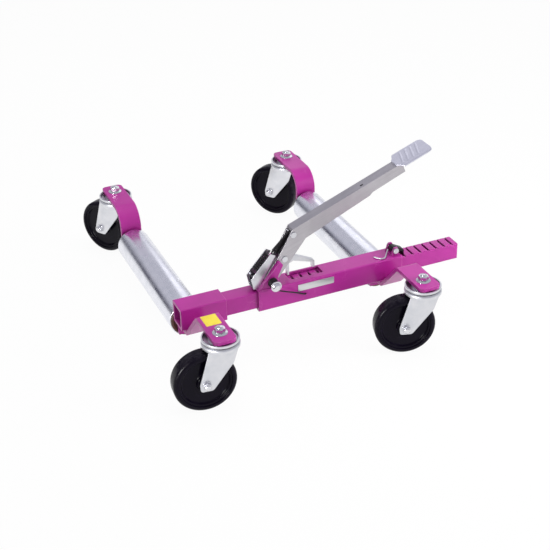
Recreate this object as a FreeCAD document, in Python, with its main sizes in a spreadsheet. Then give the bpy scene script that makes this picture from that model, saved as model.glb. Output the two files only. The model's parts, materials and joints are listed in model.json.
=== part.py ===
import FreeCAD, Part
import math
import os
import re
import Sketcher
from FreeCAD import Placement, Rotation, Vector

# A ratcheting wheel dolly: a foot pedal draws two rollers on a telescoping beam together under a tyre.
# Frame: millimetres, +Z up, floor at z = 0, beam along X, rollers along +Y behind the beam.

DIMENSIONS = [
    # Origin of the frame, measured from the sleeve's left end and the beam's axis
    ("frame_x", 291.75, "middle of the object's length"),
    ("frame_y", 203.93, "middle of the object's depth"),
    # Beam
    ("beam_z", 117.0, "height of the beam's axis"),
    ("tube_side", 50.0, "outer tube across flats"),
    ("tube_wall", 5.0, "outer tube wall"),
    ("tube_left", 172.0, "left end of the outer tube"),
    ("tube_right", 512.0, "right end of the outer tube"),
    ("tube_round", 3.0, "outer corner radius of the outer tube"),
    ("rack_side", 38.0, "inner tube across flats"),
    ("rack_wall", 4.0, "inner tube wall"),
    ("rack_left", 45.0, "left end of the inner tube"),
    ("rack_right", 656.0, "right end of the inner tube"),
    ("sleeve_length", 100.0, "length of the sleeve"),
    ("slot_pitch", 20.0, "spacing of the rack slots"),
    ("slot_width", 7.5, "width of a rack slot"),
    ("slot_depth", 6.0, "depth of a rack slot"),
    ("slot_first", 202.0, "first rack slot"),
    ("slot_count", 23, "number of rack slots"),
    ("window_left", 250.0, "left end of the pawl window"),
    ("window_right", 328.0, "right end of the pawl window"),
    ("window_front", 9.0, "window edge in front of the beam's axis"),
    ("window_back", 19.0, "window edge behind the beam's axis"),
    # Rollers
    ("roller_left_x", 31.0, "axis of the left roller"),
    ("roller_right_x", 481.0, "axis of the right roller"),
    ("roller_z", 82.0, "height of the rollers' axes"),
    ("roller_radius", 38.0, "outside radius of a roller"),
    ("roller_wall", 4.0, "wall of a roller"),
    ("roller_front", 28.0, "front face of a roller's bush"),
    ("roller_back", 402.0, "back face of a roller's bush"),
    ("bush_flange", 5.0, "flange thickness of a roller bush"),
    ("bush_spigot", 26.0, "spigot length of a roller bush"),
    ("bush_drop", 3.0, "flange radius under the roller's radius"),
    ("axle_radius", 10.0, "roller axle radius"),
    ("run_fit", 0.05, "radial running clearance"),
    ("set_fit", 0.15, "radial clearance of set pieces"),
    # Brackets
    ("bar_width", 48.0, "width of the bracket bar"),
    ("bar_thick", 8.0, "thickness of the bracket bar"),
    ("crown_room", 35.0, "brackets' top face over the casters' wheels"),
    ("bar_end", 33.0, "bar beyond the kingpin"),
    ("bar_corner", 11.0, "corner radius of the bar's free end"),
    ("front_y", 168.0, "front kingpins in front of the beam"),
    ("foot_back", 25.0, "bracket foot behind the beam's axis"),
    ("lip_low", 58.0, "low edge of a front bracket's lip"),
    ("foot_front", 29.0, "start of the rising leg"),
    ("leg_top_y", 97.0, "end of the rising leg"),
    ("bar_bend", 5.0, "inner bend radius of a front bracket"),
    ("rear_reach", 119.0, "rear kingpins behind the rollers"),
    ("rear_gap", 3.0, "roller to rear bracket"),
    ("rear_bend", 36.0, "inner bend radius of a rear bracket"),
    ("rear_low", 58.0, "low end of a rear bracket"),
    # Casters
    ("wheel_radius", 65.0, "caster wheel radius"),
    ("wheel_width", 36.0, "caster wheel width"),
    ("wheel_shoulder", 8.0, "tread shoulder radius"),
    ("wheel_trail", 38.0, "kingpin to wheel axle"),
    ("hub_radius", 19.0, "wheel hub radius"),
    ("rim_width", 18.0, "wheel's rim round its dish"),
    ("dish_depth", 8.0, "depth of the wheel's dish"),
    ("dish_step", 3.0, "step round the dish"),
    ("dish_draft", 2.0, "slope of the dish's sides"),
    ("bush_radius", 9.0, "wheel bush outside radius"),
    ("hub_gap", 2.0, "wheel bush beyond the wheel's face"),
    ("bolt_radius", 6.0, "kingpin, axle bolt and pivot bolt radius"),
    ("fork_inner", 20.5, "half the gap of the fork"),
    ("fork_plate", 4.0, "fork plate thickness"),
    ("fork_disc", 39.0, "radius of the fork's crown"),
    ("fork_crown", 6.5, "thickness of the fork's crown"),
    ("fork_lap", 1.0, "fork plates into the crown"),
    ("fork_back", 30.0, "fork plates behind the kingpin"),
    ("fork_front", 30.0, "fork plates in front of the kingpin"),
    ("fork_toe", 14.0, "fork plate round the axle"),
    ("fork_round", 10.0, "corner radius of a fork plate"),
    ("fork_brow", 2.0, "front corner of a fork plate above the axle"),
    ("fork_knee", 8.0, "back corner of a fork plate above the axle"),
    ("race_height", 9.0, "height of the upper race"),
    ("race_radius", 38.0, "radius of the upper race"),
    ("race_step", 3.0, "step of the upper race"),
    ("race_gap", 0.6, "gap of the swivel"),
    ("swivel_fl", 175.0, "trail direction of the front left caster"),
    ("swivel_fr", 163.0, "trail direction of the front right caster"),
    ("swivel_rl", 122.0, "trail direction of the rear left caster"),
    ("swivel_rr", 124.0, "trail direction of the rear right caster"),
    ("washer_radius", 13.0, "flange of a bolt head"),
    ("washer_thick", 2.5, "flange thickness of a bolt head"),
    ("hex_radius", 10.4, "corner radius of a hexagon"),
    ("hex_height", 8.0, "height of a bolt head or nut"),
    ("head_height", 5.6, "height of an axle bolt's head"),
    ("head_bevel", 1.5, "bevel on top of a bolt head"),
    ("edge_bevel", 1.0, "bevel on roller ends and bolt flanges"),
    ("bolt_end", 2.0, "bolt beyond its nut"),
    # Pedal, measured from its pivot
    ("pivot_x", 203.0, "pedal pivot"),
    ("pivot_z", 158.0, "height of the pedal pivot"),
    ("lever_width", 25.0, "width of the lever's channel"),
    ("lever_sheet", 3.0, "sheet thickness of the lever"),
    ("lever_boss", 12.0, "radius of the lever's pivot end"),
    ("round_flat", 0.6, "half the flat left beside a full round"),
    ("elbow_x", 55.0, "outer elbow"),
    ("elbow_z", 104.0, "outer elbow"),
    ("arm_x", 309.0, "top of the arm's end"),
    ("arm_z", 202.0, "top of the arm's end"),
    ("arm_depth", 21.0, "depth of the arm's end"),
    ("step_x", 237.0, "step in the arm's flange"),
    ("step_z", 146.0, "step in the arm's flange"),
    ("step_rise", 7.0, "height of the step"),
    ("crook_x", 84.0, "inner elbow"),
    ("crook_z", 77.0, "inner elbow"),
    ("heel_x", 46.0, "low corner of the leg"),
    ("heel_z", 29.0, "low corner of the leg"),
    ("shin_x", 22.0, "left edge of the leg"),
    ("shin_z", 48.0, "left edge of the leg"),
    ("pad_length", 74.0, "foot pad beyond the arm"),
    ("pad_width", 52.0, "foot pad width"),
    ("pad_neck", 18.0, "foot pad overlap on the arm"),
    ("pad_thick", 4.0, "foot pad thickness"),
    ("pad_round", 9.0, "foot pad corner radius"),
    ("rib_height", 1.6, "height of a foot pad rib"),
    ("rib_width", 3.0, "width of a foot pad rib"),
    ("rib_pitch", 11.0, "spacing of the foot pad ribs"),
    ("rib_count", 5, "number of foot pad ribs"),
    # Ears and pins
    ("ear_inner", 13.5, "half the gap between the ears"),
    ("ear_thick", 10.0, "thickness of an ear"),
    ("ear_left", 28.0, "ear's foot to the left of the pivot"),
    ("ear_right", 15.0, "ear's foot to the right of the pivot"),
    ("ear_waist", 8.0, "start of an ear's lean above the pivot"),
    ("ear_tip_x", 27.0, "low corner of an ear's tip"),
    ("ear_tip_z", 33.0, "low corner of an ear's tip"),
    ("ear_top_x", 19.0, "high corner of an ear's tip"),
    ("ear_top_z", 42.0, "high corner of an ear's tip"),
    ("ear_round", 4.0, "corner radius of an ear's tip"),
    ("head_gap", 22.5, "room for the torsion spring on the pivot bolt"),
    ("pin_radius", 4.0, "pawl and spring pin radius"),
    ("pin_head", 6.5, "pin head radius"),
    ("pin_cap", 2.0, "pin head thickness"),
    ("side_gap", 0.1, "pin head to plate"),
    ("pawl_x", 35.0, "drive pawl pin from the pivot"),
    ("pawl_z", 39.0, "drive pawl pin above the pivot"),
    ("pawl_thick", 10.0, "drive pawl thickness"),
    ("pawl_hub", 8.0, "half the drive pawl's hub"),
    ("pawl_round", 1.0, "corner radius of the drive pawl"),
    ("tooth_x", 11.0, "drive tooth from its pin"),
    ("tooth_width", 4.0, "drive tooth width"),
    ("tooth_drop", 45.5, "drive tooth below its pin"),
    ("tooth_root", 17.0, "drive tooth's root below its pin"),
    ("finger_x", 72.0, "reach of the pawl's finger"),
    ("finger_drop", 40.0, "finger's tip below the pin"),
    ("finger_tip", 5.0, "width of the finger's tip"),
    ("finger_top", 22.0, "finger's top below the pin"),
    ("finger_root", 13.0, "finger's root below the pin"),
    ("finger_start", 12.0, "finger's root from the tooth"),
    # Return spring
    ("spring_x", 56.0, "elbow pin from the pivot"),
    ("spring_z", 91.0, "elbow pin above the pivot"),
    ("anchor_x", -33.0, "anchor pin from the pivot"),
    ("anchor_z", 9.0, "anchor pin above the pivot"),
    ("anchor_radius", 3.0, "anchor pin radius"),
    ("drawbar_length", 50.0, "elbow pin to the spring's hole"),
    ("drawbar_width", 13.0, "drawbar width"),
    ("drawbar_thick", 4.0, "drawbar thickness"),
    ("drawbar_hole", 3.2, "radius of the spring's hole"),
    ("drawbar_end", 4.6, "drawbar beyond the spring's hole"),
    ("drawbar_round", 3.0, "corner radius of the drawbar"),
    ("spring_wire", 1.9, "return spring wire radius"),
    ("spring_mean", 9.3, "return spring mean radius"),
    ("spring_pitch", 4.8, "return spring pitch"),
    ("spring_turns", 9, "return spring turns"),
    ("spring_loop", 5.4, "return spring loop radius"),
    ("spring_start", 13.0, "first turn from the anchor pin"),
    ("cheek_inner", 11.7, "half the gap of the anchor bracket"),
    ("cheek_plate", 1.5, "anchor bracket sheet"),
    ("sole_left", 37.0, "anchor bracket's foot to the left of the pivot"),
    ("sole_right", 17.0, "anchor bracket's foot to the left of the pivot"),
    ("ankle_x", 25.0, "foot of the anchor bracket's strips"),
    ("hip_x", 42.0, "back corner of the strips"),
    ("hip_z", 7.0, "back corner of the strips"),
    ("back_x", 35.0, "bend of the strips"),
    ("back_z", 17.0, "bend of the strips"),
    ("strip_x", 14.3, "low corner of the strips' ends"),
    ("strip_z", 52.6, "low corner of the strips' ends"),
    ("strip_top_x", 4.0, "high corner of the strips' ends"),
    ("strip_top_z", 58.7, "high corner of the strips' ends"),
    # Torsion spring
    ("coil_wire", 1.5, "torsion spring wire radius"),
    ("coil_mean", 9.3, "torsion spring mean radius"),
    ("coil_pitch", 4.0, "torsion spring pitch"),
    ("coil_turns", 4, "torsion spring turns"),
    ("coil_start", 26.0, "first turn in front of the beam's axis"),
    ("coil_clear", 0.5, "leg's bend clear of the tube"),
    ("coil_sink", 4.0, "leg's end in the tube's wall"),
    ("hook_x", 76.0, "leg's hole from the pivot"),
    ("hook_z", -49.0, "leg's hole below the pivot"),
    ("hook_hole", 2.4, "radius of the leg's hole"),
    # Holding pawl
    ("hold_inset", 10.5, "holding pawl pin from the outer tube's end"),
    ("hold_z", 36.0, "holding pawl pin above the beam's axis"),
    ("hold_width", 18.0, "holding pawl width"),
    ("hold_hub", 7.5, "holding pawl hub radius"),
    ("hold_tip", 20.3, "holding pawl tip from its pin"),
    ("hold_tooth", 3.4, "holding pawl tip thickness"),
    ("hold_ride", 0.4, "tip above the rack"),
    ("lug_inner", 10.5, "half the gap of the saddle"),
    ("lug_plate", 4.0, "saddle plate"),
    ("wire_radius", 1.3, "wire spring radius"),
]

# Sizes that follow from others
DERIVED = [
    ("bar_top", "=2 * wheel_radius + crown_room", "top face of the brackets over the casters"),
    ("rear_y", "=roller_back + rear_reach", "rear kingpins behind the beam"),
    ("hold_x", "=tube_right - hold_inset", "holding pawl pin"),
    ("dish_radius", "=wheel_radius - rim_width", "outer radius of the wheel's dish"),
]

doc = FreeCAD.newDocument("wheel_dolly")
sheet = doc.addObject("Spreadsheet::Sheet", "Dims")
for row, (alias, value, meaning) in enumerate(DIMENSIONS + DERIVED, start=1):
    sheet.set(f"A{row}", meaning)
    sheet.set(f"B{row}", str(value))
    sheet.setAlias(f"B{row}", alias)
doc.recompute()

nodes = []


def size(alias):
    """Return one driving dimension as a number."""
    return float(getattr(sheet, alias))


def bound(text):
    """Turn a formula in plain dimension names into one that reads the sheet."""
    return re.sub(r"\b([a-z]\w*)\b(?!\()", r"Dims.\1", str(text))


def drive(item, prop, text):
    """Bind one property of a document object to the sheet."""
    item.setExpression(prop, bound(text))


def place(item, x="0", y="0", z="0", turn=None):
    """Stand an object in the frame, from the sleeve's left end, the beam's axis and the floor."""
    item.Placement = Placement(Vector(), turn or Rotation())
    drive(item, "Placement.Base.x", f"{x} - frame_x")
    drive(item, "Placement.Base.y", f"{y} - frame_y")
    drive(item, "Placement.Base.z", z)


def keep(item, name):
    """Label an object as one node of the assembly."""
    item.Label = name
    nodes.append(item)
    return item


def new_body(name):
    """Start a body that becomes a node."""
    return keep(doc.addObject("PartDesign::Body", name), name)


def new_sketch(body, name, plane, lift=None):
    """Attach an empty sketch to one of the body's own planes, raised along its normal by lift."""
    sketch = body.newObject("Sketcher::SketchObject", name)
    support = next(item for item in body.Origin.OriginFeatures if item.Role == plane)
    sketch.AttachmentSupport = [(support, "")]
    sketch.MapMode = "FlatFace"
    if lift:
        drive(sketch, "AttachmentOffset.Base.z", lift)
    return sketch


def pin_down(sketch, index, spot, u, v):
    """Bind a sketch point to two formulas measured from the sketch's origin."""
    point = sketch.getPoint(index, spot)
    for kind, start, text in (("DistanceX", point.x, u), ("DistanceY", point.y, v)):
        number = sketch.addConstraint(Sketcher.Constraint(kind, -1, 1, index, spot, start))
        drive(sketch, f"Constraints[{number}]", text)


def outline(sketch, points):
    """Draw a closed outline through points given as pairs of formulas."""
    first = sketch.GeometryCount
    count = len(points)
    angles = [2 * math.pi * i / count for i in range(count)]
    ring = [Vector(math.cos(angle), math.sin(angle), 0) * START_RADIUS for angle in angles]
    for i in range(count):
        sketch.addGeometry(Part.LineSegment(ring[i], ring[(i + 1) % count]))
    for i in range(count):
        after = first + (i + 1) % count
        sketch.addConstraint(Sketcher.Constraint("Coincident", first + i, 2, after, 1))
    for i, (u, v) in enumerate(points):
        pin_down(sketch, first + i, 1, u, v)
    return sketch


def circle(sketch, u, v, radius):
    """Draw a circle with its centre and radius bound to formulas."""
    index = sketch.addGeometry(Part.Circle(Vector(1, 1, 0), AXIS_Z, START_RADIUS))
    pin_down(sketch, index, 3, u, v)
    number = sketch.addConstraint(Sketcher.Constraint("Radius", index, START_RADIUS))
    drive(sketch, f"Constraints[{number}]", radius)
    return sketch


def block(sketch, left, low, right, high):
    """Draw a rectangle between four formulas."""
    return outline(sketch, [(left, low), (right, low), (right, high), (left, high)])


def pad(body, sketch, length, both=True):
    """Raise a sketch, to both sides of its plane or along its normal."""
    feature = body.newObject("PartDesign::Pad", f"{sketch.Name}_pad")
    feature.Profile = sketch
    feature.SideType = "Symmetric" if both else "One side"
    drive(feature, "Length", length)
    doc.recompute()
    return feature


def cut(body, sketch, length, both=True, along=False):
    """Cut a sketch out of the body, to both sides, against its normal, or along it."""
    feature = body.newObject("PartDesign::Pocket", f"{sketch.Name}_cut")
    feature.Profile = sketch
    feature.SideType = "Symmetric" if both else "One side"
    feature.Reversed = along
    drive(feature, "Length", length)
    doc.recompute()
    return feature


def spin(body, sketch, axis="V_Axis"):
    """Turn a sketch a full circle about one of its own axes."""
    feature = body.newObject("PartDesign::Revolution", f"{sketch.Name}_spin")
    feature.Profile = sketch
    feature.ReferenceAxis = (sketch, [axis])
    feature.Angle = 360
    doc.recompute()
    return feature


def soften(body, name, radius, chosen, kind="PartDesign::Fillet"):
    """Round the edges that a test picks out, or bevel them."""
    base = body.Tip
    picked = [f"Edge{i}" for i, edge in enumerate(base.Shape.Edges, start=1) if chosen(edge)]
    feature = body.newObject(kind, name)
    feature.Base = (base, picked)
    drive(feature, "Radius" if kind.endswith("Fillet") else "Size", radius)
    doc.recompute()
    return feature


def runs(edge, axis):
    """Tell whether a straight edge runs along an axis."""
    if not isinstance(edge.Curve, Part.Line):
        return False
    return abs(edge.tangentAt(edge.FirstParameter).dot(axis)) > 0.999


def middle(edge):
    """Return an edge's middle point in its body's own frame."""
    return edge.CenterOfMass


AXIS_X, AXIS_Y, AXIS_Z = Vector(1, 0, 0), Vector(0, 1, 0), Vector(0, 0, 1)
ALONG_Y = Rotation(AXIS_X, -90)
FORWARD = Rotation(AXIS_X, 90)
NEAR = 0.01
START_RADIUS = 9.0


def hexagon(sketch):
    """Draw the hexagon of a bolt head or nut."""
    half, side = "hex_radius / 2", "hex_radius * 0.8660254"
    return outline(sketch, [
        ("hex_radius", "0"), (half, side), (f"-{half}", side),
        ("-hex_radius", "0"), (f"-{half}", f"-{side}"), (half, f"-{side}")])


# Beam


def square_tube(name, left, length, side, inner, rounded):
    """Make a square tube along X."""
    body = new_body(name)
    ends = new_sketch(body, f"{name}_section", "YZ_Plane")
    block(ends, f"-{side} / 2", f"-{side} / 2", f"{side} / 2", f"{side} / 2")
    block(ends, f"-{inner} / 2", f"-{inner} / 2", f"{inner} / 2", f"{inner} / 2")
    pad(body, ends, length, both=False)
    if rounded:
        half = size(side) / 2 - NEAR
        soften(body, f"{name}_corners", rounded,
               lambda edge: runs(edge, AXIS_X) and abs(middle(edge).y) > half and abs(middle(edge).z) > half)
    place(body, left, "0", "beam_z")
    return body


outer_tube = square_tube("outer_tube", "tube_left", "tube_right - tube_left", "tube_side",
                         "(tube_side - 2 * tube_wall)", "tube_round")
window = new_sketch(outer_tube, "pawl_window", "XY_Plane")
block(window, "window_left - tube_left", "-window_front", "window_right - tube_left", "window_back")
cut(outer_tube, window, "tube_side", both=False, along=True)
hook_hole = new_sketch(outer_tube, "hook_hole", "XZ_Plane")
circle(hook_hole, "pivot_x + hook_x - tube_left", "pivot_z + hook_z - beam_z", "hook_hole")
cut(outer_tube, hook_hole, "tube_side", both=False, along=True)

inner_rack_tube = square_tube("inner_rack_tube", "rack_left", "rack_right - rack_left", "rack_side",
                              "(rack_side - 2 * rack_wall)", None)
slot = new_sketch(inner_rack_tube, "rack_slot", "XZ_Plane")
block(slot, "slot_first - rack_left - slot_width / 2", "rack_side / 2 - slot_depth",
      "slot_first - rack_left + slot_width / 2", "rack_side / 2 + slot_depth")
slot_cut = cut(inner_rack_tube, slot, "rack_side * 2")
slots = inner_rack_tube.newObject("PartDesign::LinearPattern", "rack_slots")
slots.Originals = [slot_cut]
slots.Direction = (slot, ["H_Axis"])
drive(slots, "Length", "slot_pitch * (slot_count - 1)")
drive(slots, "Occurrences", "slot_count")
inner_rack_tube.Tip = slots
doc.recompute()

square_tube("left_sleeve", "0", "sleeve_length", "tube_side", "rack_side", "tube_round")


# Brackets

LEG_RISE = "(bar_top - beam_z + tube_side / 2)"
LEG_RUN = "(leg_top_y - foot_front)"
LEG_SHIFT = f"bar_thick * sqrt(1 + {LEG_RUN} * {LEG_RUN} / {LEG_RISE} / {LEG_RISE})"


def kingpin_hole(body, name, y):
    """Drill a bracket for its kingpin."""
    hole = new_sketch(body, f"{name}_hole", "XY_Plane")
    circle(hole, "0", y, "bolt_radius + set_fit")
    cut(body, hole, "bar_top * 4")


def front_bracket(name, x):
    """Make a cranked bar from a roller axle's end, under the beam, to over a front caster."""
    body = new_body(name)
    low, under = "beam_z - tube_side / 2", "bar_top - bar_thick"
    lean = f"{LEG_RUN} / {LEG_RISE}"
    side = new_sketch(body, f"{name}_side", "YZ_Plane")
    outline(side, [
        ("foot_back", low),
        ("-foot_front", low),
        ("-leg_top_y", "bar_top"),
        ("-front_y - bar_end", "bar_top"),
        ("-front_y - bar_end", under),
        (f"-leg_top_y - {LEG_SHIFT} + bar_thick * {lean}", under),
        (f"-foot_front - {LEG_SHIFT} + bar_thick * {lean}", f"{low} - bar_thick"),
        ("foot_back - bar_thick", f"{low} - bar_thick"),
        ("foot_back - bar_thick", "lip_low"),
        ("foot_back", "lip_low")])
    pad(body, side, "bar_width")
    front = -size("front_y") - size("bar_end")
    soften(body, f"{name}_corners", "bar_corner",
           lambda edge: runs(edge, AXIS_Z) and middle(edge).y < front + NEAR)
    over, foot = size("bar_top"), size("beam_z") - size("tube_side") / 2 - size("bar_thick")
    soften(body, f"{name}_outer_bends", "bar_bend + bar_thick",
           lambda edge: runs(edge, AXIS_X) and front + NEAR < middle(edge).y < 0
           and (middle(edge).z > over - NEAR or middle(edge).z < foot + NEAR))
    soften(body, f"{name}_inner_bend", "bar_bend",
           lambda edge: runs(edge, AXIS_X) and front + NEAR < middle(edge).y
           and abs(middle(edge).z - over + size("bar_thick")) < NEAR)
    kingpin_hole(body, name, "-front_y")
    place(body, x)
    return body


def rear_bracket(name, x):
    """Make a swept bar from a roller's end up over a rear caster."""
    body = new_body(name)
    near = "(roller_back + rear_gap)"
    under = "bar_top - bar_thick"
    side = new_sketch(body, f"{name}_side", "YZ_Plane")
    outline(side, [
        (near, "rear_low"),
        (near, "bar_top"),
        ("rear_y + bar_end", "bar_top"),
        ("rear_y + bar_end", under),
        (f"{near} + bar_thick", under),
        (f"{near} + bar_thick", "rear_low")])
    pad(body, side, "bar_width")
    leg = size("roller_back") + size("rear_gap")
    far = size("rear_y") + size("bar_end")
    soften(body, f"{name}_outer_bend", "rear_bend + bar_thick",
           lambda edge: runs(edge, AXIS_X) and middle(edge).y < leg + NEAR
           and middle(edge).z > size("bar_top") - NEAR)
    soften(body, f"{name}_inner_bend", "rear_bend",
           lambda edge: runs(edge, AXIS_X) and abs(middle(edge).y - leg - size("bar_thick")) < NEAR
           and middle(edge).z > size("bar_top") - size("bar_thick") - NEAR)
    soften(body, f"{name}_corners", "bar_corner",
           lambda edge: (runs(edge, AXIS_Z) and middle(edge).y > far - NEAR)
           or (runs(edge, AXIS_Y) and middle(edge).z < size("rear_low") + NEAR))
    kingpin_hole(body, name, "rear_y")
    axle_hole = new_sketch(body, f"{name}_axle", "XZ_Plane")
    circle(axle_hole, "0", "roller_z", "axle_radius + set_fit")
    cut(body, axle_hole, "rear_y * 4")
    place(body, x)
    return body


for side, roller in (("left", "roller_left_x"), ("right", "roller_right_x")):
    front_bracket(f"{side}_front_bracket", roller)
    rear_bracket(f"{side}_rear_bracket", roller)


# Rollers


def bevel_ends(body, name, radius):
    """Take the sharp edge off both ends of a roller."""
    soften(body, name, "edge_bevel",
           lambda edge: isinstance(edge.Curve, Part.Circle) and abs(edge.Curve.Radius - radius) < NEAR,
           kind="PartDesign::Chamfer")


def roller_bush(name, x, y, turn):
    """Make the brown flanged bush in one end of a roller."""
    body = new_body(name)
    bore, spigot = "axle_radius + run_fit", "roller_radius - roller_wall - set_fit"
    half = new_sketch(body, f"{name}_half", "XY_Plane")
    outline(half, [
        (bore, "0"), ("roller_radius - bush_drop", "0"), ("roller_radius - bush_drop", "bush_flange"),
        (spigot, "bush_flange"), (spigot, "bush_flange + bush_spigot"), (bore, "bush_flange + bush_spigot")])
    spin(body, half)
    place(body, x, y, "roller_z", turn)


def roller_set(side, x):
    """Make a roller with its two bushes and its fixed axle."""
    name = f"{side}_roller"
    body = new_body(name)
    ring = new_sketch(body, f"{name}_ring", "XZ_Plane")
    circle(ring, "0", "0", "roller_radius")
    circle(ring, "0", "0", "roller_radius - roller_wall")
    pad(body, ring, "roller_back - roller_front - 2 * bush_flange")
    bevel_ends(body, f"{name}_bevel", size("roller_radius"))
    place(body, x, "(roller_front + roller_back) / 2", "roller_z")
    roller_bush(f"{name}_front_bush", x, "roller_front", None)
    roller_bush(f"{name}_rear_bush", x, "roller_back", Rotation(AXIS_Z, 180))
    axle = keep(doc.addObject("Part::Cylinder", f"{side}_axle"), f"{side}_axle")
    drive(axle, "Radius", "axle_radius")
    drive(axle, "Height", "roller_back + rear_gap + bar_thick + bolt_end - foot_back")
    place(axle, x, "foot_back", "roller_z", ALONG_Y)


roller_set("left", "roller_left_x")
roller_set("right", "roller_right_x")


# Casters

CROWN_TOP = "(bar_top - bar_thick - race_height - race_gap)"
CROWN_LOW = f"({CROWN_TOP} - fork_crown)"
NUT_TOP = f"({CROWN_LOW} - race_gap)"
PLATE_OUT = "(fork_inner + fork_plate)"


def kingpin(name, x, y):
    """Make a flanged hexagon bolt with its nut, standing through a bracket and a fork."""
    body = doc.addObject("PartDesign::Body", name)
    half = new_sketch(body, f"{name}_half", "XZ_Plane")
    low = f"{NUT_TOP} - hex_height - bolt_end"
    outline(half, [
        ("0", low), ("bolt_radius", low), ("bolt_radius", "bar_top"), ("washer_radius", "bar_top"),
        ("washer_radius - edge_bevel", "bar_top + washer_thick"), ("0", "bar_top + washer_thick")])
    spin(body, half)
    head = hexagon(new_sketch(body, f"{name}_head", "XY_Plane", "bar_top"))
    pad(body, head, "washer_thick + hex_height", both=False)
    nut = hexagon(new_sketch(body, f"{name}_nut", "XY_Plane", f"{NUT_TOP} - hex_height"))
    pad(body, nut, "hex_height", both=False)
    top = size("bar_top") + size("washer_thick") + size("hex_height")
    soften(body, f"{name}_dome", "head_bevel",
           lambda edge: not runs(edge, AXIS_Z) and middle(edge).z > top - NEAR,
           kind="PartDesign::Chamfer")
    place(body, x, y)
    return body


def upper_race(name, x, y):
    """Make the stepped race that is held under a bracket."""
    body = new_body(name)
    low, high = "bar_top - bar_thick - race_height", "bar_top - bar_thick"
    half = new_sketch(body, f"{name}_half", "XZ_Plane")
    outline(half, [
        ("bolt_radius + set_fit", low), ("race_radius - race_step", low),
        ("race_radius - race_step", f"{low} + race_height / 3"), ("race_radius", f"{low} + race_height / 3"),
        ("race_radius", f"{high} - race_height / 3"), ("race_radius - race_step", high),
        ("bolt_radius + set_fit", high)])
    spin(body, half)
    place(body, x, y)


def fork(name, x, y, swivel):
    """Make the crown and two tapering plates of a swivel fork."""
    body = new_body(name)
    crown = circle(new_sketch(body, f"{name}_crown", "XY_Plane", CROWN_LOW), "0", "0", "fork_disc")
    pad(body, crown, "fork_crown", both=False)
    toe, heel = "wheel_trail + fork_toe", "wheel_trail - fork_toe"
    plate = new_sketch(body, f"{name}_plate", "XZ_Plane")
    outline(plate, [
        ("-fork_back", f"{CROWN_LOW} + fork_lap"), ("fork_front", f"{CROWN_LOW} + fork_lap"),
        (toe, "wheel_radius + fork_brow"), (toe, "wheel_radius - fork_toe"),
        (heel, "wheel_radius - fork_toe"), (heel, "wheel_radius + fork_knee")])
    pad(body, plate, f"{PLATE_OUT} * 2")
    low = size("wheel_radius") - size("fork_toe")
    soften(body, f"{name}_toes", "fork_round",
           lambda edge: runs(edge, AXIS_Y) and middle(edge).z < low + NEAR)
    gap = new_sketch(body, f"{name}_gap", "XZ_Plane")
    block(gap, "-wheel_radius * 2", "-wheel_radius", "wheel_radius * 2", CROWN_LOW)
    cut(body, gap, "fork_inner * 2")
    pin_hole = circle(new_sketch(body, f"{name}_pin_hole", "XY_Plane"), "0", "0", "bolt_radius + run_fit")
    cut(body, pin_hole, "bar_top * 4")
    axle_hole = new_sketch(body, f"{name}_axle_hole", "XZ_Plane")
    circle(axle_hole, "wheel_trail", "wheel_radius", "bolt_radius + set_fit")
    cut(body, axle_hole, "wheel_radius * 4")
    place(body, x, y, "0", Rotation(AXIS_Z, size(swivel)))


def on_trail(body, x, y, swivel):
    """Stand a piece at a wheel's centre, turned with its fork."""
    angle = math.radians(size(swivel))
    place(body, f"{x} + wheel_trail * {math.cos(angle):.6f}", f"{y} + wheel_trail * {math.sin(angle):.6f}",
          "wheel_radius", Rotation(AXIS_Z, size(swivel)))


def wheel(name, x, y, swivel):
    """Make a hard wheel with a dished side, on its axle along local Y."""
    body = new_body(name)
    half = new_sketch(body, f"{name}_half", "XY_Plane")
    rim, floor = "wheel_width / 2", "wheel_width / 2 - dish_depth"
    bore, lip = "bush_radius + set_fit", "dish_radius + dish_step"
    right = [(bore, rim), ("hub_radius - dish_draft", rim), ("hub_radius", floor),
             ("dish_radius - dish_step", floor), ("dish_radius", f"{rim} - dish_step"),
             (lip, f"{rim} - dish_step"), (f"{lip} + dish_draft / 2", rim), ("wheel_radius", rim)]
    left = [(u, f"-({v})") for u, v in reversed(right)]
    outline(half, right + left)
    spin(body, half)
    widest = size("wheel_radius") - NEAR
    soften(body, f"{name}_tread", "wheel_shoulder",
           lambda edge: isinstance(edge.Curve, Part.Circle) and edge.Curve.Radius > widest)
    on_trail(body, x, y, swivel)


def wheel_bush(name, x, y, swivel):
    """Make the steel bush pressed in a wheel."""
    body = new_body(name)
    ring = new_sketch(body, f"{name}_ring", "XZ_Plane")
    circle(ring, "0", "0", "bush_radius")
    circle(ring, "0", "0", "bolt_radius + run_fit")
    pad(body, ring, "wheel_width + 2 * hub_gap")
    on_trail(body, x, y, swivel)


def axle_bolt(name, x, y, swivel):
    """Make the bolt and nut that hold a wheel in its fork."""
    body = new_body(name)
    face = f"({PLATE_OUT} + side_gap)"
    half = new_sketch(body, f"{name}_half", "XY_Plane")
    outline(half, [
        ("0", f"-{face} - hex_height"), ("bolt_radius", f"-{face} - hex_height"),
        ("bolt_radius", f"{face} + hex_height + bolt_end"), ("0", f"{face} + hex_height + bolt_end")])
    spin(body, half)
    head = hexagon(new_sketch(body, f"{name}_head", "XZ_Plane", face))
    pad(body, head, "head_height", both=False)
    nut = hexagon(new_sketch(body, f"{name}_nut", "XZ_Plane", f"-{face} - hex_height"))
    pad(body, nut, "hex_height", both=False)
    on_trail(body, x, y, swivel)


def grouped(name, pieces):
    """Join identical fasteners into one node of separate solids."""
    group = keep(doc.addObject("Part::Compound", name), name)
    group.Links = pieces
    return group


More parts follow.
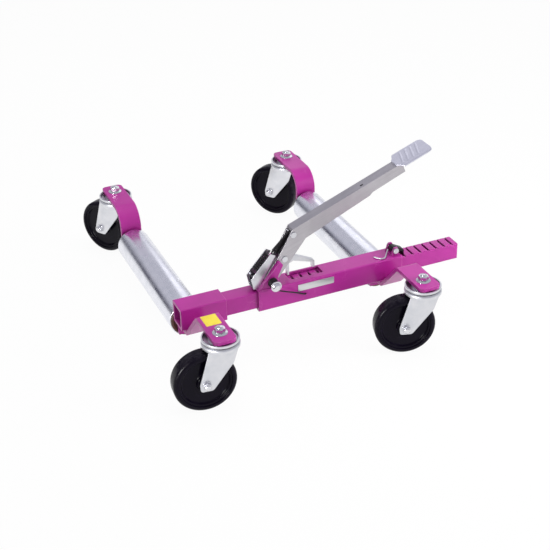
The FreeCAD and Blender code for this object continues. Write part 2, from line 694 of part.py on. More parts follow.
CASTERS = {
    "fl": ("roller_left_x", "-front_y"),
    "fr": ("roller_right_x", "-front_y"),
    "rl": ("roller_left_x", "rear_y"),
    "rr": ("roller_right_x", "rear_y"),
}
pins = {}
for corner, (x, y) in CASTERS.items():
    pins[corner] = kingpin(f"kingpin_{corner}", x, y)
    upper_race(f"upper_race_{corner}", x, y)
    fork(f"fork_{corner}", x, y, f"swivel_{corner}")
    wheel(f"wheel_{corner}", x, y, f"swivel_{corner}")
    wheel_bush(f"wheel_bush_{corner}", x, y, f"swivel_{corner}")
    axle_bolt(f"axle_bolt_{corner}", x, y, f"swivel_{corner}")
grouped("left_kingpins", [pins["fl"], pins["rl"]])
grouped("right_kingpins", [pins["fr"], pins["rr"]])


# Pedal


def side_hole(body, name, x, z, radius):
    """Bore a piece through along Y."""
    hole = circle(new_sketch(body, name, "XZ_Plane"), x, z, radius)
    cut(body, hole, "tube_side * 4")


def ear(name, y):
    """Make one leaning ear that carries the pedal's pivot bolt."""
    body = new_body(name)
    base = "beam_z + tube_side / 2 - pivot_z"
    side = new_sketch(body, f"{name}_side", "XZ_Plane")
    outline(side, [
        ("-ear_left", base), ("ear_right", base), ("ear_right", "ear_waist"),
        ("ear_tip_x", "ear_tip_z"), ("ear_top_x", "ear_top_z")])
    pad(body, side, "ear_thick")
    tip = size("ear_tip_z") - NEAR
    soften(body, f"{name}_tip", "ear_round", lambda edge: runs(edge, AXIS_Y) and middle(edge).z > tip)
    side_hole(body, f"{name}_hole", "0", "0", "bolt_radius + set_fit")
    place(body, "pivot_x", y, "pivot_z")


ear("front_ear", "-ear_inner - ear_thick / 2")
ear("rear_ear", "ear_inner + ear_thick / 2")

pedal_lever = new_body("pedal_lever")
ARM_SLOPE = "((arm_z - elbow_z) / (arm_x - elbow_x))"
profile = new_sketch(pedal_lever, "lever_profile", "XZ_Plane")
outline(profile, [
    ("elbow_x", "elbow_z"), ("arm_x", "arm_z"),
    (f"arm_x + arm_depth * {ARM_SLOPE}", "arm_z - arm_depth"),
    ("step_x + step_rise / 2", "step_z + step_rise / 2"),
    ("step_x - step_rise / 2", "step_z - step_rise / 2"),
    ("crook_x", "crook_z"), ("heel_x", "heel_z"),
    ("lever_boss", "-lever_boss"), ("-lever_boss", "-lever_boss"), ("-lever_boss", "lever_boss / 4"),
    ("shin_x", "shin_z")])
pad(pedal_lever, profile, "lever_width")
boss = size("lever_boss")
soften(pedal_lever, "lever_ends", "lever_boss - round_flat",
       lambda edge: runs(edge, AXIS_Y) and middle(edge).z < -boss + NEAR)
web_drop = f"lever_sheet * sqrt(1 + {ARM_SLOPE} * {ARM_SLOPE})"
hollow = new_sketch(pedal_lever, "lever_hollow", "XZ_Plane")
outline(hollow, [
    ("elbow_x - elbow_z", f"elbow_z - elbow_z * {ARM_SLOPE} - {web_drop}"),
    ("arm_x + elbow_x", f"arm_z + elbow_x * {ARM_SLOPE} - {web_drop}"),
    ("arm_x + elbow_x", "-elbow_z"), ("elbow_x - elbow_z", "-elbow_z")])
cut(pedal_lever, hollow, "lever_width - 2 * lever_sheet")
side_hole(pedal_lever, "lever_pivot", "0", "0", "bolt_radius + run_fit")
side_hole(pedal_lever, "lever_pawl", "pawl_x", "pawl_z", "pin_radius + set_fit")
side_hole(pedal_lever, "lever_spring", "spring_x", "spring_z", "pin_radius + set_fit")
place(pedal_lever, "pivot_x", "0", "pivot_z")

foot_pad = new_body("foot_pad")
spoon = new_sketch(foot_pad, "pad_outline", "XY_Plane")
half_neck, half_pad = "lever_width / 2", "pad_width / 2"
outline(spoon, [
    ("-pad_neck", f"-{half_neck}"), ("0", f"-{half_neck}"), ("pad_neck", f"-{half_pad}"),
    ("pad_length", f"-{half_pad}"), ("pad_length", half_pad), ("pad_neck", half_pad),
    ("0", half_neck), ("-pad_neck", half_neck)])
pad(foot_pad, spoon, "pad_thick", both=False)
soften(foot_pad, "pad_corners", "pad_round", lambda edge: runs(edge, AXIS_Z) and middle(edge).x > NEAR)
rib = new_sketch(foot_pad, "pad_rib", "XY_Plane", "pad_thick")
block(rib, "pad_neck", "-pad_width / 2 + pad_round", "pad_neck + rib_width", "pad_width / 2 - pad_round")
rib_pad = pad(foot_pad, rib, "rib_height", both=False)
ribs = foot_pad.newObject("PartDesign::LinearPattern", "pad_ribs")
ribs.Originals = [rib_pad]
ribs.Direction = (rib, ["H_Axis"])
drive(ribs, "Length", "rib_pitch * (rib_count - 1)")
drive(ribs, "Occurrences", "rib_count")
foot_pad.Tip = ribs
arm_tilt = math.degrees(math.atan2(size("arm_z") - size("elbow_z"), size("arm_x") - size("elbow_x")))
place(foot_pad, "pivot_x + arm_x", "0", "pivot_z + arm_z", Rotation(AXIS_Y, -arm_tilt))


def cross_pin(name, x, z, reach):
    """Make a pin along Y, with a cap outside each plate."""
    body = new_body(name)
    half = new_sketch(body, f"{name}_half", "XY_Plane")
    end = f"({reach} + side_gap)"
    outline(half, [
        ("0", f"-{end} - pin_cap"), ("pin_head", f"-{end} - pin_cap"), ("pin_head", f"-{end}"),
        ("pin_radius", f"-{end}"), ("pin_radius", end), ("pin_head", end),
        ("pin_head", f"{end} + pin_cap"), ("0", f"{end} + pin_cap")])
    spin(body, half)
    place(body, x, "0", z)


cross_pin("pawl_pin", "pivot_x + pawl_x", "pivot_z + pawl_z", "lever_width / 2")
cross_pin("spring_pin", "pivot_x + spring_x", "pivot_z + spring_z", "lever_width / 2")

pivot_bolt = new_body("pivot_bolt")
bolt_half = new_sketch(pivot_bolt, "pivot_half", "XY_Plane")
ear_face = "(ear_inner + ear_thick + side_gap)"
front_face = f"({ear_face} + head_gap)"
outline(bolt_half, [
    ("0", f"-{front_face} - hex_height"), ("bolt_radius", f"-{front_face} - hex_height"),
    ("hex_radius", f"-{front_face} - hex_height / 2"), ("hex_radius", f"-{front_face} - washer_thick"),
    ("washer_radius", f"-{front_face} - washer_thick"), ("washer_radius", f"-{front_face}"),
    ("bolt_radius", f"-{front_face}"), ("bolt_radius", f"{ear_face} + hex_height + bolt_end"),
    ("0", f"{ear_face} + hex_height + bolt_end")])
spin(pivot_bolt, bolt_half)
pivot_nut = hexagon(new_sketch(pivot_bolt, "pivot_nut", "XZ_Plane", f"-{ear_face} - hex_height"))
pad(pivot_bolt, pivot_nut, "hex_height", both=False)
place(pivot_bolt, "pivot_x", "0", "pivot_z")


# Pawls

drive_pawl = new_body("drive_pawl")
pawl_side = new_sketch(drive_pawl, "pawl_side", "XZ_Plane")
outline(pawl_side, [
    ("-pawl_hub", "pawl_hub"), ("pawl_hub", "pawl_hub"), ("finger_x - finger_tip / 2", "-finger_top"),
    ("finger_x", "-finger_top - finger_tip / 2"), ("finger_x", "-finger_drop"),
    ("finger_x - finger_tip", "-finger_drop"), ("finger_x - finger_tip", "-finger_top - finger_tip"),
    ("tooth_x + finger_start", "-finger_root"), ("tooth_x + tooth_width / 2", "-tooth_root"),
    ("tooth_x + tooth_width / 2", "-tooth_drop"), ("tooth_x - tooth_width / 2", "-tooth_drop"),
    ("tooth_x - tooth_width", "-tooth_root"), ("-pawl_hub", "-pawl_hub")])
pad(drive_pawl, pawl_side, "pawl_thick")
finger_low = -size("finger_top") - size("finger_tip") + NEAR
soften(drive_pawl, "pawl_rounds", "pawl_round",
       lambda edge: runs(edge, AXIS_Y) and middle(edge).x > size("tooth_x") and middle(edge).z > finger_low)
side_hole(drive_pawl, "pawl_bore", "0", "0", "pin_radius + run_fit")
place(drive_pawl, "pivot_x + pawl_x", "0", "pivot_z + pawl_z")

holding_pawl = new_body("holding_pawl")
hold_low = "rack_side / 2 + hold_ride - hold_z"
hold_side = new_sketch(holding_pawl, "hold_side", "XZ_Plane")
outline(hold_side, [
    ("-hold_hub", "-hold_hub"), ("-hold_hub", "hold_hub"), ("hold_hub / 2", "hold_hub"),
    ("hold_tip + hold_tooth", "-hold_tooth"), ("hold_tip + hold_tooth", hold_low), ("hold_tip", hold_low),
    ("hold_tip - hold_tooth / 2", "-hold_hub"), ("hold_hub", "-hold_hub")])
pad(holding_pawl, hold_side, "hold_width")
soften(holding_pawl, "hold_rounds", "hold_hub - round_flat",
       lambda edge: runs(edge, AXIS_Y) and middle(edge).x < 0)
side_hole(holding_pawl, "hold_bore", "0", "0", "pin_radius + run_fit")
place(holding_pawl, "hold_x", "0", "beam_z + hold_z")

pawl_saddle = new_body("pawl_saddle")
saddle_out = "(lug_inner + lug_plate)"
saddle_top = "beam_z + hold_z + hold_hub"
lug_half = new_sketch(pawl_saddle, "lug_side", "XZ_Plane")
deck = "beam_z + tube_side / 2"
outline(lug_half, [
    ("hold_x - hold_hub - lug_plate", deck), ("hold_x + hold_hub", deck),
    ("hold_x + hold_hub", f"{saddle_top} - hold_hub"), ("hold_x + hold_hub / 2", saddle_top),
    ("hold_x - hold_hub / 2", saddle_top), ("hold_x - hold_hub", f"{saddle_top} - hold_hub")])
pad(pawl_saddle, lug_half, f"{saddle_out} * 2")
saddle_gap = new_sketch(pawl_saddle, "saddle_gap", "XZ_Plane")
block(saddle_gap, "hold_x - tube_side", f"{deck} + lug_plate / 2",
      "hold_x + tube_side", f"{saddle_top} + lug_plate")
cut(pawl_saddle, saddle_gap, "lug_inner * 2")
side_hole(pawl_saddle, "saddle_bore", "hold_x", "beam_z + hold_z", "pin_radius + set_fit")
place(pawl_saddle)
cross_pin("holding_pin", "hold_x", "beam_z + hold_z", saddle_out)


# Return spring's fittings

REACH_X = size("spring_x") - size("anchor_x")
REACH_Z = size("spring_z") - size("anchor_z")
SPRING_REACH = math.hypot(REACH_X, REACH_Z)
SPRING_TILT = math.degrees(math.atan2(REACH_X, REACH_Z))

drawbar = new_body("drawbar")
bar_side = new_sketch(drawbar, "drawbar_side", "XZ_Plane")
half_bar = "drawbar_width / 2"
block(bar_side, f"-{half_bar}", "-drawbar_length - drawbar_end", half_bar, half_bar)
pad(drawbar, bar_side, "drawbar_thick")
soften(drawbar, "drawbar_eye", "drawbar_width / 2 - round_flat",
       lambda edge: runs(edge, AXIS_Y) and middle(edge).z > 0)
soften(drawbar, "drawbar_corners", "drawbar_round",
       lambda edge: runs(edge, AXIS_Y) and middle(edge).z < -size("drawbar_length"))
side_hole(drawbar, "drawbar_bore", "0", "0", "pin_radius + run_fit")
side_hole(drawbar, "drawbar_hook", "0", "-drawbar_length", "drawbar_hole")
place(drawbar, "pivot_x + spring_x", "0", "pivot_z + spring_z", Rotation(AXIS_Y, SPRING_TILT))

anchor_bracket = new_body("anchor_bracket")
cheek = new_sketch(anchor_bracket, "anchor_cheek", "XZ_Plane")
foot = "beam_z + tube_side / 2 - pivot_z"
outline(cheek, [
    ("-sole_left", foot), ("-sole_right", foot), ("-sole_right", f"{foot} + cheek_plate"),
    ("-ankle_x", f"{foot} + cheek_plate"), ("strip_x", "strip_z"), ("strip_top_x", "strip_top_z"),
    ("-back_x", "back_z"), ("-hip_x", "hip_z")])
pad(anchor_bracket, cheek, "(cheek_inner + cheek_plate) * 2")
clevis = new_sketch(anchor_bracket, "anchor_gap", "XZ_Plane")
block(clevis, "-tube_side * 2", f"{foot} + cheek_plate", "tube_side * 2", "tube_side * 2")
cut(anchor_bracket, clevis, "cheek_inner * 2")
side_hole(anchor_bracket, "anchor_bore", "anchor_x", "anchor_z", "anchor_radius + set_fit")
place(anchor_bracket, "pivot_x", "0", "pivot_z")

anchor_pin = keep(doc.addObject("Part::Cylinder", "anchor_pin"), "anchor_pin")
drive(anchor_pin, "Radius", "anchor_radius")
drive(anchor_pin, "Height", "(cheek_inner + cheek_plate) * 2")
place(anchor_pin, "pivot_x + anchor_x", "-cheek_inner - cheek_plate", "pivot_z + anchor_z", ALONG_Y)


# Wound and bent wire


def arc_between(start, tangent, end):
    """Return the arc that leaves a point along a tangent and reaches another point."""
    chord = end - start
    along = Vector(chord).normalize()
    lean = tangent - along * tangent.dot(along)
    if lean.Length < 1e-6:
        return Part.LineSegment(start, end)
    turn = math.acos(max(-1.0, min(1.0, Vector(tangent).normalize().dot(along))))
    peak = start + chord * 0.5 + lean.normalize() * (chord.Length / 2 * math.tan(turn / 2))
    return Part.Arc(start, peak, end)


def biarc(start, leave, end, arrive):
    """Return two arcs that join a point and a direction to another point and direction."""
    gap = end - start
    both = leave + arrive
    bend = 2 * (1 - leave.dot(arrive))
    pull = gap.dot(both)
    if bend < 1e-9:
        reach = gap.dot(gap) / (4 * gap.dot(arrive))
    else:
        reach = (math.sqrt(pull * pull + bend * gap.dot(gap)) - pull) / bend
    join = (start + end + (leave - arrive) * reach) * 0.5
    heading = (join - start - leave * reach).normalize()
    return [arc_between(start, leave, join), arc_between(join, heading, end)]


def chain(stations):
    """Join stations of point and direction by biarcs."""
    curves = []
    for (start, leave), (end, arrive) in zip(stations, stations[1:]):
        curves += biarc(start, leave, end, arrive)
    return curves


def helix_stations(mean, pitch, turns, start):
    """Return a right-handed helix about Z as one station for each quarter turn."""
    slope = pitch / (2 * math.pi)
    stations = []
    for i in range(int(turns * 4) + 1):
        angle = i * math.pi / 2
        point = Vector(mean * math.cos(angle), mean * math.sin(angle), start + slope * angle)
        heading = Vector(-mean * math.sin(angle), mean * math.cos(angle), slope)
        stations.append((point, heading.normalize()))
    return stations


def loop_stations(centre, radius, first, second, angles):
    """Return stations round a loop in the plane of two directions."""
    stations = []
    for angle in angles:
        turn = math.radians(angle)
        point = centre + first * (radius * math.cos(turn)) + second * (radius * math.sin(turn))
        heading = second * math.cos(turn) - first * math.sin(turn)
        stations.append((point, heading))
    return stations


def least_gap(curves, radius, step=0.8):
    """Measure the least gap between stretches of one wire that aren't neighbours along it."""
    points = []
    for curve in curves:
        edge = curve.toShape()
        points += edge.discretize(max(2, int(edge.Length / step)))[:-1]
    apart = int(6 * radius / step) + 2
    near = min(points[i].distanceToPoint(points[j])
               for i in range(len(points)) for j in range(i + apart, len(points)))
    return near - 2 * radius


def wire_form(name, curves, radius):
    """Sweep a round wire along joined arcs into one unbroken tube."""
    path = Part.Wire([curve.toShape() for curve in curves])
    start = curves[0].toShape()
    heading = start.tangentAt(start.FirstParameter)
    ring = Part.Wire([Part.Circle(start.valueAt(start.FirstParameter), heading, radius).toShape()])
    item = keep(doc.addObject("Part::Feature", name), name)
    item.Shape = path.makePipeShell([ring], True, False)
    return item


LOWER_LOOP = [-260, -180, -90, 0]
UPPER_LOOP = [0, 90, 180, 240]
lower = loop_stations(Vector(), size("spring_loop"), AXIS_X, AXIS_Z, LOWER_LOOP)
body_turns = helix_stations(
    size("spring_mean"), size("spring_pitch"), size("spring_turns"), size("spring_start"))
ring_centre = Vector(0, 0, SPRING_REACH - size("drawbar_length") - size("spring_loop"))
upper = loop_stations(ring_centre, size("spring_loop"), AXIS_Y, AXIS_Z, UPPER_LOOP)
spring_path = chain(lower + body_turns + upper)
print("return spring least gap", round(least_gap(spring_path, size("spring_wire")), 2))
return_spring = wire_form("return_spring", spring_path, size("spring_wire"))
place(return_spring, "pivot_x + anchor_x", "0", "pivot_z + anchor_z", Rotation(AXIS_Y, SPRING_TILT))

# The torsion spring is wound about local Z, which points forward along the pivot bolt
hook = Vector(size("hook_x"), size("hook_z"), size("tube_side") / 2)
leg_turn = math.atan2(hook.y, hook.x) - math.acos(size("coil_mean") / math.hypot(hook.x, hook.y))
coil = helix_stations(size("coil_mean"), size("coil_pitch"), size("coil_turns"), size("coil_start"))
coil_spin = Rotation(AXIS_Z, math.degrees(leg_turn))
coil = [(coil_spin.multVec(point), coil_spin.multVec(heading)) for point, heading in coil]
clear = 2 * size("coil_wire") + size("coil_clear")
leg_heading = Vector(hook.x - coil[-1][0].x, hook.y - coil[-1][0].y, 0).normalize()
leg_end = Vector(hook.x, hook.y, hook.z + clear) - leg_heading * clear
leg_in = Vector(hook.x, hook.y, hook.z - size("coil_sink"))
coil_path = chain(coil + [(leg_end, leg_heading), (leg_in, Vector(0, 0, -1))])
print("torsion spring least gap", round(least_gap(coil_path, size("coil_wire")), 2))
torsion_spring = wire_form("torsion_spring", coil_path, size("coil_wire"))
place(torsion_spring, "pivot_x", "0", "pivot_z", FORWARD)

# Stations of the bent wire from its rest on the tube, under the holding pawl's pin, each with its heading
BENT_WIRE = [
    (Vector(-48, -4, 0), Vector(0.6, -0.8, 0)),
    (Vector(-34, -19, 0.4), Vector(1, -0.1, 0)),
    (Vector(-20, -8, 2), Vector(0.55, 0.8, 0.25)),
    (Vector(-12, 0, 8), Vector(0.5, 0.5, 0.7)),
]
bent = [(point, heading.normalize()) for point, heading in BENT_WIRE]
pawl_spring = wire_form("pawl_spring", chain(bent), size("wire_radius"))
place(pawl_spring, "hold_x", "0", "beam_z + tube_side / 2 + wire_radius")

doc.recompute()
for item in doc.Objects:
    if "Invalid" in item.State or "Error" in item.State:
        raise RuntimeError(f"{item.Label} did not compute: {item.State}")
os.makedirs("parts", exist_ok=True)
for item in nodes:
    if item.Shape.isNull() or not item.Shape.isValid():
        raise RuntimeError(f"{item.Label} has no valid shape")
    item.Shape.exportStep(f"parts/{item.Label}.step")
box = Part.makeCompound([item.Shape for item in nodes]).BoundBox
print(len(nodes), "nodes", [round(value, 1) for value in
                            (box.XMin, box.YMin, box.ZMin, box.XMax, box.YMax, box.ZMax)])
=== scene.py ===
"""Looks of a ratcheting wheel dolly: finishes, pressed, turned and wound pieces, studio and camera."""

import json
import logging
import math
from collections.abc import Sequence
from dataclasses import dataclass
from enum import Enum
from functools import cache

import bmesh
import bpy
from mathutils import Matrix, Vector

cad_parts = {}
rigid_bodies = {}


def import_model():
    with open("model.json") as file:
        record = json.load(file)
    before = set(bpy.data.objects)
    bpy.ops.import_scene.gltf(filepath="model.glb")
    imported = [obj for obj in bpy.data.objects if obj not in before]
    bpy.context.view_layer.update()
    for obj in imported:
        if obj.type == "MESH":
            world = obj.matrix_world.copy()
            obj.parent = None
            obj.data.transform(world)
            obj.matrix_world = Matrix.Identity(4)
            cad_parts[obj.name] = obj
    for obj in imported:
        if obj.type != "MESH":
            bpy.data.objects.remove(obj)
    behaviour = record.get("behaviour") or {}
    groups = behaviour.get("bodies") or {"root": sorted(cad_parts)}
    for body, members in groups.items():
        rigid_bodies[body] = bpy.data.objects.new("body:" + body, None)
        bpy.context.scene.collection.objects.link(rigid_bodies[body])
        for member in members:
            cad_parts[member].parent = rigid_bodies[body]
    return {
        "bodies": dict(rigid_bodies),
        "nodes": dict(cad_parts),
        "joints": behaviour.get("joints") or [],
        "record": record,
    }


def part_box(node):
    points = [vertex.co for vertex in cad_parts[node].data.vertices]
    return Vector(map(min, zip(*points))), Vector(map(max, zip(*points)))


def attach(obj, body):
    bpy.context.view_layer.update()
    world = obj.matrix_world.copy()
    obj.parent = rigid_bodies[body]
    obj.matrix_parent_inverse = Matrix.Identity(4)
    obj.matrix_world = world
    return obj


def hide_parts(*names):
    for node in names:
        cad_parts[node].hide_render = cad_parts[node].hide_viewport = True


Point2 = tuple[float, float]
Point3 = tuple[float, float, float]
Colour = tuple[float, float, float, float]
Radii = tuple[float, ...]
Input = float | Sequence[float] | bpy.types.NodeSocket
Inputs = dict[str | int, Input]

LOG = logging.getLogger("wheel_dolly")
MM = 0.001
IN_PLACE = Matrix()
ALONG_Y = Matrix.Rotation(math.radians(-90), 4, "X")
# Turns a plate's outline from X and Z to X and Y
LAID_FLAT = Matrix(((1, 0, 0, 0), (0, 0, 1, 0), (0, 1, 0, 0), (0, 0, 0, 1)))
IMAGE_SIZE = 550
WHITE: Colour = (1, 1, 1, 1)

# A turned profile that ends at its axis stops this far from it
CORE = 0.2 * MM
# An arc takes at most this share of the room on a side
LARGEST_SHARE = 0.98
# A corner that turns by less than this angle stays as it is
NEARLY_STRAIGHT = 0.02
# Edges sharper than these angles in degrees stay crisp
CRISP, CRISP_PAD, CRISP_WIRE, CRISP_WELD = 32.0, 50.0, 70.0, 80.0


class Corner(Enum):
    """The four casters."""

    FRONT_LEFT = "fl"
    FRONT_RIGHT = "fr"
    REAR_LEFT = "rl"
    REAR_RIGHT = "rr"

    @property
    def side(self) -> str:
        """Return the half of the frame that the caster stands under."""
        return "left" if self.value.endswith("l") else "right"


class Slot(Enum):
    """The record's material slots."""

    PURPLE = "purple_coat"
    STEEL = "plain_steel"
    GALVANISED = "galvanised"
    ZINC = "white_zinc"
    BLACK = "black_steel"
    BUSH = "brown_bush"
    WHEEL = "black_wheel"


class Half(Enum):
    """The two halves of the telescoping frame, with the body that each rides on."""

    LEFT = "rack_frame"
    RIGHT = "main_frame"

    @property
    def side(self) -> str:
        """Return the side's name as the nodes use it."""
        return self.name.lower()


class Socket(Enum):
    """The kinds of output that a shared effect has."""

    VALUE = "NodeSocketFloat"
    VECTOR = "NodeSocketVector"


# Shapes


def ease(value: float) -> float:
    """Return a share from 0 to 1 with a soft start and end."""
    share = min(1.0, max(0.0, value))
    return share * share * (3 - 2 * share)


def rectangle(left: float, bottom: float, right: float, top: float) -> list[Point2]:
    """Return the corners of a rectangle in order."""
    return [(left, bottom), (right, bottom), (right, top), (left, top)]


def round_corners(points: Sequence[Point2], radii: float | Sequence[float], closed: bool = True,
                  steps: int = 6) -> list[Point2]:
    """Replace the corners of an outline by arcs.

    Args:
        points: Corners of the outline in order.
        radii: One radius, or one for each corner, in metres.
        closed: Whether the last corner joins the first.
        steps: Straight pieces in each arc.

    Returns:
        The points of the rounded outline.
    """
    count = len(points)
    each = [radii] * count if isinstance(radii, (int, float)) else list(radii)
    rounded: list[Point2] = []
    for i, (corner, radius) in enumerate(zip(points, each)):
        if radius <= 0 or (not closed and i in (0, count - 1)):
            rounded.append(tuple(corner))
            continue
        here = Vector(corner)
        back = Vector(points[i - 1]) - here
        ahead = Vector(points[(i + 1) % count]) - here
        angle = back.angle(ahead)
        half = math.tan(angle / 2)
        share_back = radius / (radius + each[i - 1]) * LARGEST_SHARE
        share_ahead = radius / (radius + each[(i + 1) % count]) * LARGEST_SHARE
        reach = min(radius / half, back.length * share_back, ahead.length * share_ahead)
        sweep = math.pi - angle
        if sweep < NEARLY_STRAIGHT:
            rounded.append(tuple(corner))
            continue
        start, end = back.normalized() * reach, ahead.normalized() * reach
        centre = (start + end).normalized() * (reach * half / math.sin(angle / 2))
        first, second = start - centre, end - centre
        for k in range(steps + 1):
            share = k / steps
            spoke = first * math.sin((1 - share) * sweep) + second * math.sin(share * sweep)
            rounded.append(tuple(here + centre + spoke / math.sin(sweep)))
    return rounded


def line(start: Vector, end: Vector, step: float = 0.6 * MM) -> list[Vector]:
    """Return closely spaced points from one point to another."""
    count = max(2, int((end - start).length / step))
    return [start.lerp(end, i / count) for i in range(count + 1)]


def hermite(start: Vector, leave: Vector, end: Vector, arrive: Vector, count: int) -> list[Vector]:
    """Draw a smooth curve between two points with given directions.

    Args:
        start: First point.
        leave: Direction at the first point.
        end: Last point.
        arrive: Direction at the last point.
        count: Number of points, the last one left out.

    Returns:
        Points from the first point up to, and without, the last.
    """
    pull = (end - start).length
    first, last = leave.normalized() * pull, arrive.normalized() * pull
    points = []
    for k in range(count):
        t = k / count
        points.append(start * (2 * t**3 - 3 * t**2 + 1) + first * (t**3 - 2 * t**2 + t)
                      + end * (3 * t**2 - 2 * t**3) + last * (t**3 - t**2))
    return points


def helix(mean: float, pitch: float, turns: int, start: float, turn: float = 0.0,
          steps: int = 40) -> list[Vector]:
    """Wind a helix about Z.

    Args:
        mean: Radius of the wire's middle line.
        pitch: Rise of one turn.
        turns: Number of turns.
        start: Height of the first point.
        turn: Angle of the first point.
        steps: Straight pieces in each turn.

    Returns:
        Points along the helix.
    """
    slope = pitch / math.tau
    angles = [math.tau * i / steps for i in range(turns * steps + 1)]
    return [Vector((mean * math.cos(a + turn), mean * math.sin(a + turn), start + slope * a)) for a in angles]


class Forge:
    """A mesh in the making, filled by turning, sweeping and pressing."""

    hexagon_points: int = 48
    chamfer_share: float = 0.96
    chamfer_slope: float = math.tan(math.radians(30))
    dome_angles: tuple[float, ...] = tuple(math.radians(angle) for angle in (80, 60, 35))
    bevel_segments: int = 3
    bevel_profile: float = 0.5
    same_height: float = 1e-7

    def __init__(self) -> None:
        """Start an empty mesh."""
        self.mesh = bmesh.new()

    def stack(self, rings: Sequence[Sequence[Vector]], joined: bool = False) -> None:
        """Skin rings of points that all have the same count.

        Args:
            rings: Rings in order.
            joined: Whether the last ring joins the first; otherwise both ends are capped.
        """
        made = [[self.mesh.verts.new(point) for point in ring] for ring in rings]
        pairs = list(zip(made, made[1:]))
        if joined:
            pairs.append((made[-1], made[0]))
        for low, high in pairs:
            for i in range(len(low)):
                j = (i + 1) % len(low)
                self.mesh.faces.new((low[i], low[j], high[j], high[i]))
        if not joined:
            self.mesh.faces.new(list(reversed(made[0])))
            self.mesh.faces.new(made[-1])

    def turn(self, profile: Sequence[Point2], place: Matrix = IN_PLACE, segments: int = 96,
             joined: bool = True) -> None:
        """Turn a profile of radius and height about local Z.

        Args:
            profile: Points of radius and height.
            place: Where the turned piece stands.
            segments: Points round the axis.
            joined: Whether the profile is a closed loop off the axis.
        """
        spokes = [(math.cos(a), math.sin(a)) for a in (math.tau * i / segments for i in range(segments))]
        rings = [[place @ Vector((r * c, r * s, h)) for c, s in spokes] for r, h in profile]
        self.stack(rings, joined)

    def hexagon(self, radius: float, low: float, high: float, place: Matrix = IN_PLACE) -> None:
        """Make a hexagon head or nut along local Z with turned chamfers at both ends.

        Args:
            radius: Corner radius.
            low: Height of the lower face.
            high: Height of the upper face.
            place: Where the hexagon stands.
        """
        count, half_side = self.hexagon_points, math.pi / 6
        flat = radius * math.cos(half_side)
        top = flat * self.chamfer_share
        angles = [math.tau * i / count for i in range(count)]
        reach = [flat / math.cos((a + half_side) % (math.pi / 3) - half_side) for a in angles]
        chamfer = [(r - top) * self.chamfer_slope for r in reach]
        layers = [([top] * count, [low] * count), (reach, [low + drop for drop in chamfer]),
                  (reach, [high - drop for drop in chamfer]), ([top] * count, [high] * count)]
        self.stack([[place @ Vector((r * math.cos(a), r * math.sin(a), h))
                     for a, r, h in zip(angles, radii, heights)] for radii, heights in layers])

    def sweep(self, path: Sequence[Vector], radii: float | Sequence[float], sides: int = 14) -> None:
        """Sweep a round wire with domed ends along a path.

        Args:
            path: Points of the wire's middle line.
            radii: One radius, or one for each point.
            sides: Points round the wire.
        """
        each = [radii] * len(path) if isinstance(radii, (int, float)) else list(radii)
        first = (path[1] - path[0]).normalized()
        last = (path[-1] - path[-2]).normalized()
        domes = self.dome_angles
        points = [path[0] - first * (each[0] * math.sin(a)) for a in domes] + list(path)
        points += [path[-1] + last * (each[-1] * math.sin(a)) for a in reversed(domes)]
        widths = [each[0] * math.cos(a) for a in domes] + each
        widths += [each[-1] * math.cos(a) for a in reversed(domes)]
        side = first.orthogonal().normalized()
        rings = []
        for i, (point, width) in enumerate(zip(points, widths)):
            along = (points[min(i + 1, len(points) - 1)] - points[max(i - 1, 0)]).normalized()
            side = (side - along * side.dot(along)).normalized()
            up = along.cross(side)
            rings.append([point + (side * math.cos(a) + up * math.sin(a)) * width
                          for a in (math.tau * k / sides for k in range(sides))])
        self.stack(rings)

    def plate(self, outline: Sequence[Point2], near: float, far: float, bevel: float,
              place: Matrix = IN_PLACE) -> None:
        """Cut a flat plate with softened edges from an outline in local X and Z.

        Args:
            outline: Points of the outline.
            near: Local Y of one face.
            far: Local Y of the other face.
            bevel: Width of the softened edge.
            place: Where the plate stands.
        """
        work = bmesh.new()
        face = work.faces.new([work.verts.new((x, near, z)) for x, z in outline])
        grown = bmesh.ops.extrude_face_region(work, geom=[face])["geom"]
        moved = [item for item in grown if isinstance(item, bmesh.types.BMVert)]
        bmesh.ops.translate(work, vec=(0, far - near, 0), verts=moved)
        rims = [edge for edge in work.edges
                if abs(edge.verts[0].co.y - edge.verts[1].co.y) < self.same_height]
        bmesh.ops.bevel(work, geom=rims, offset=bevel, segments=self.bevel_segments,
                        profile=self.bevel_profile, affect="EDGES")
        bmesh.ops.transform(work, matrix=place, verts=work.verts)
        spare = bpy.data.meshes.new("plate")
        work.to_mesh(spare)
        work.free()
        self.mesh.from_mesh(spare)
        bpy.data.meshes.remove(spare)

    def done(self, name: str, sharp: float = CRISP, turn: Matrix = IN_PLACE) -> bpy.types.Object:
        """Turn the work into a named object with smooth faces and crisp edges.

        Args:
            name: Name of the piece.
            sharp: Angle in degrees above which an edge stays crisp.
            turn: Rotation given to the finished mesh.

        Returns:
            The new object, linked to the scene.
        """
        bmesh.ops.transform(self.mesh, matrix=turn, verts=self.mesh.verts)
        bmesh.ops.recalc_face_normals(self.mesh, faces=self.mesh.faces)
        data = bpy.data.meshes.new(name)
        self.mesh.to_mesh(data)
        self.mesh.free()
        data.shade_smooth()
        data.set_sharp_from_angle(angle=math.radians(sharp))
        piece = bpy.data.objects.new(name, data)
        bpy.context.scene.collection.objects.link(piece)
        return piece


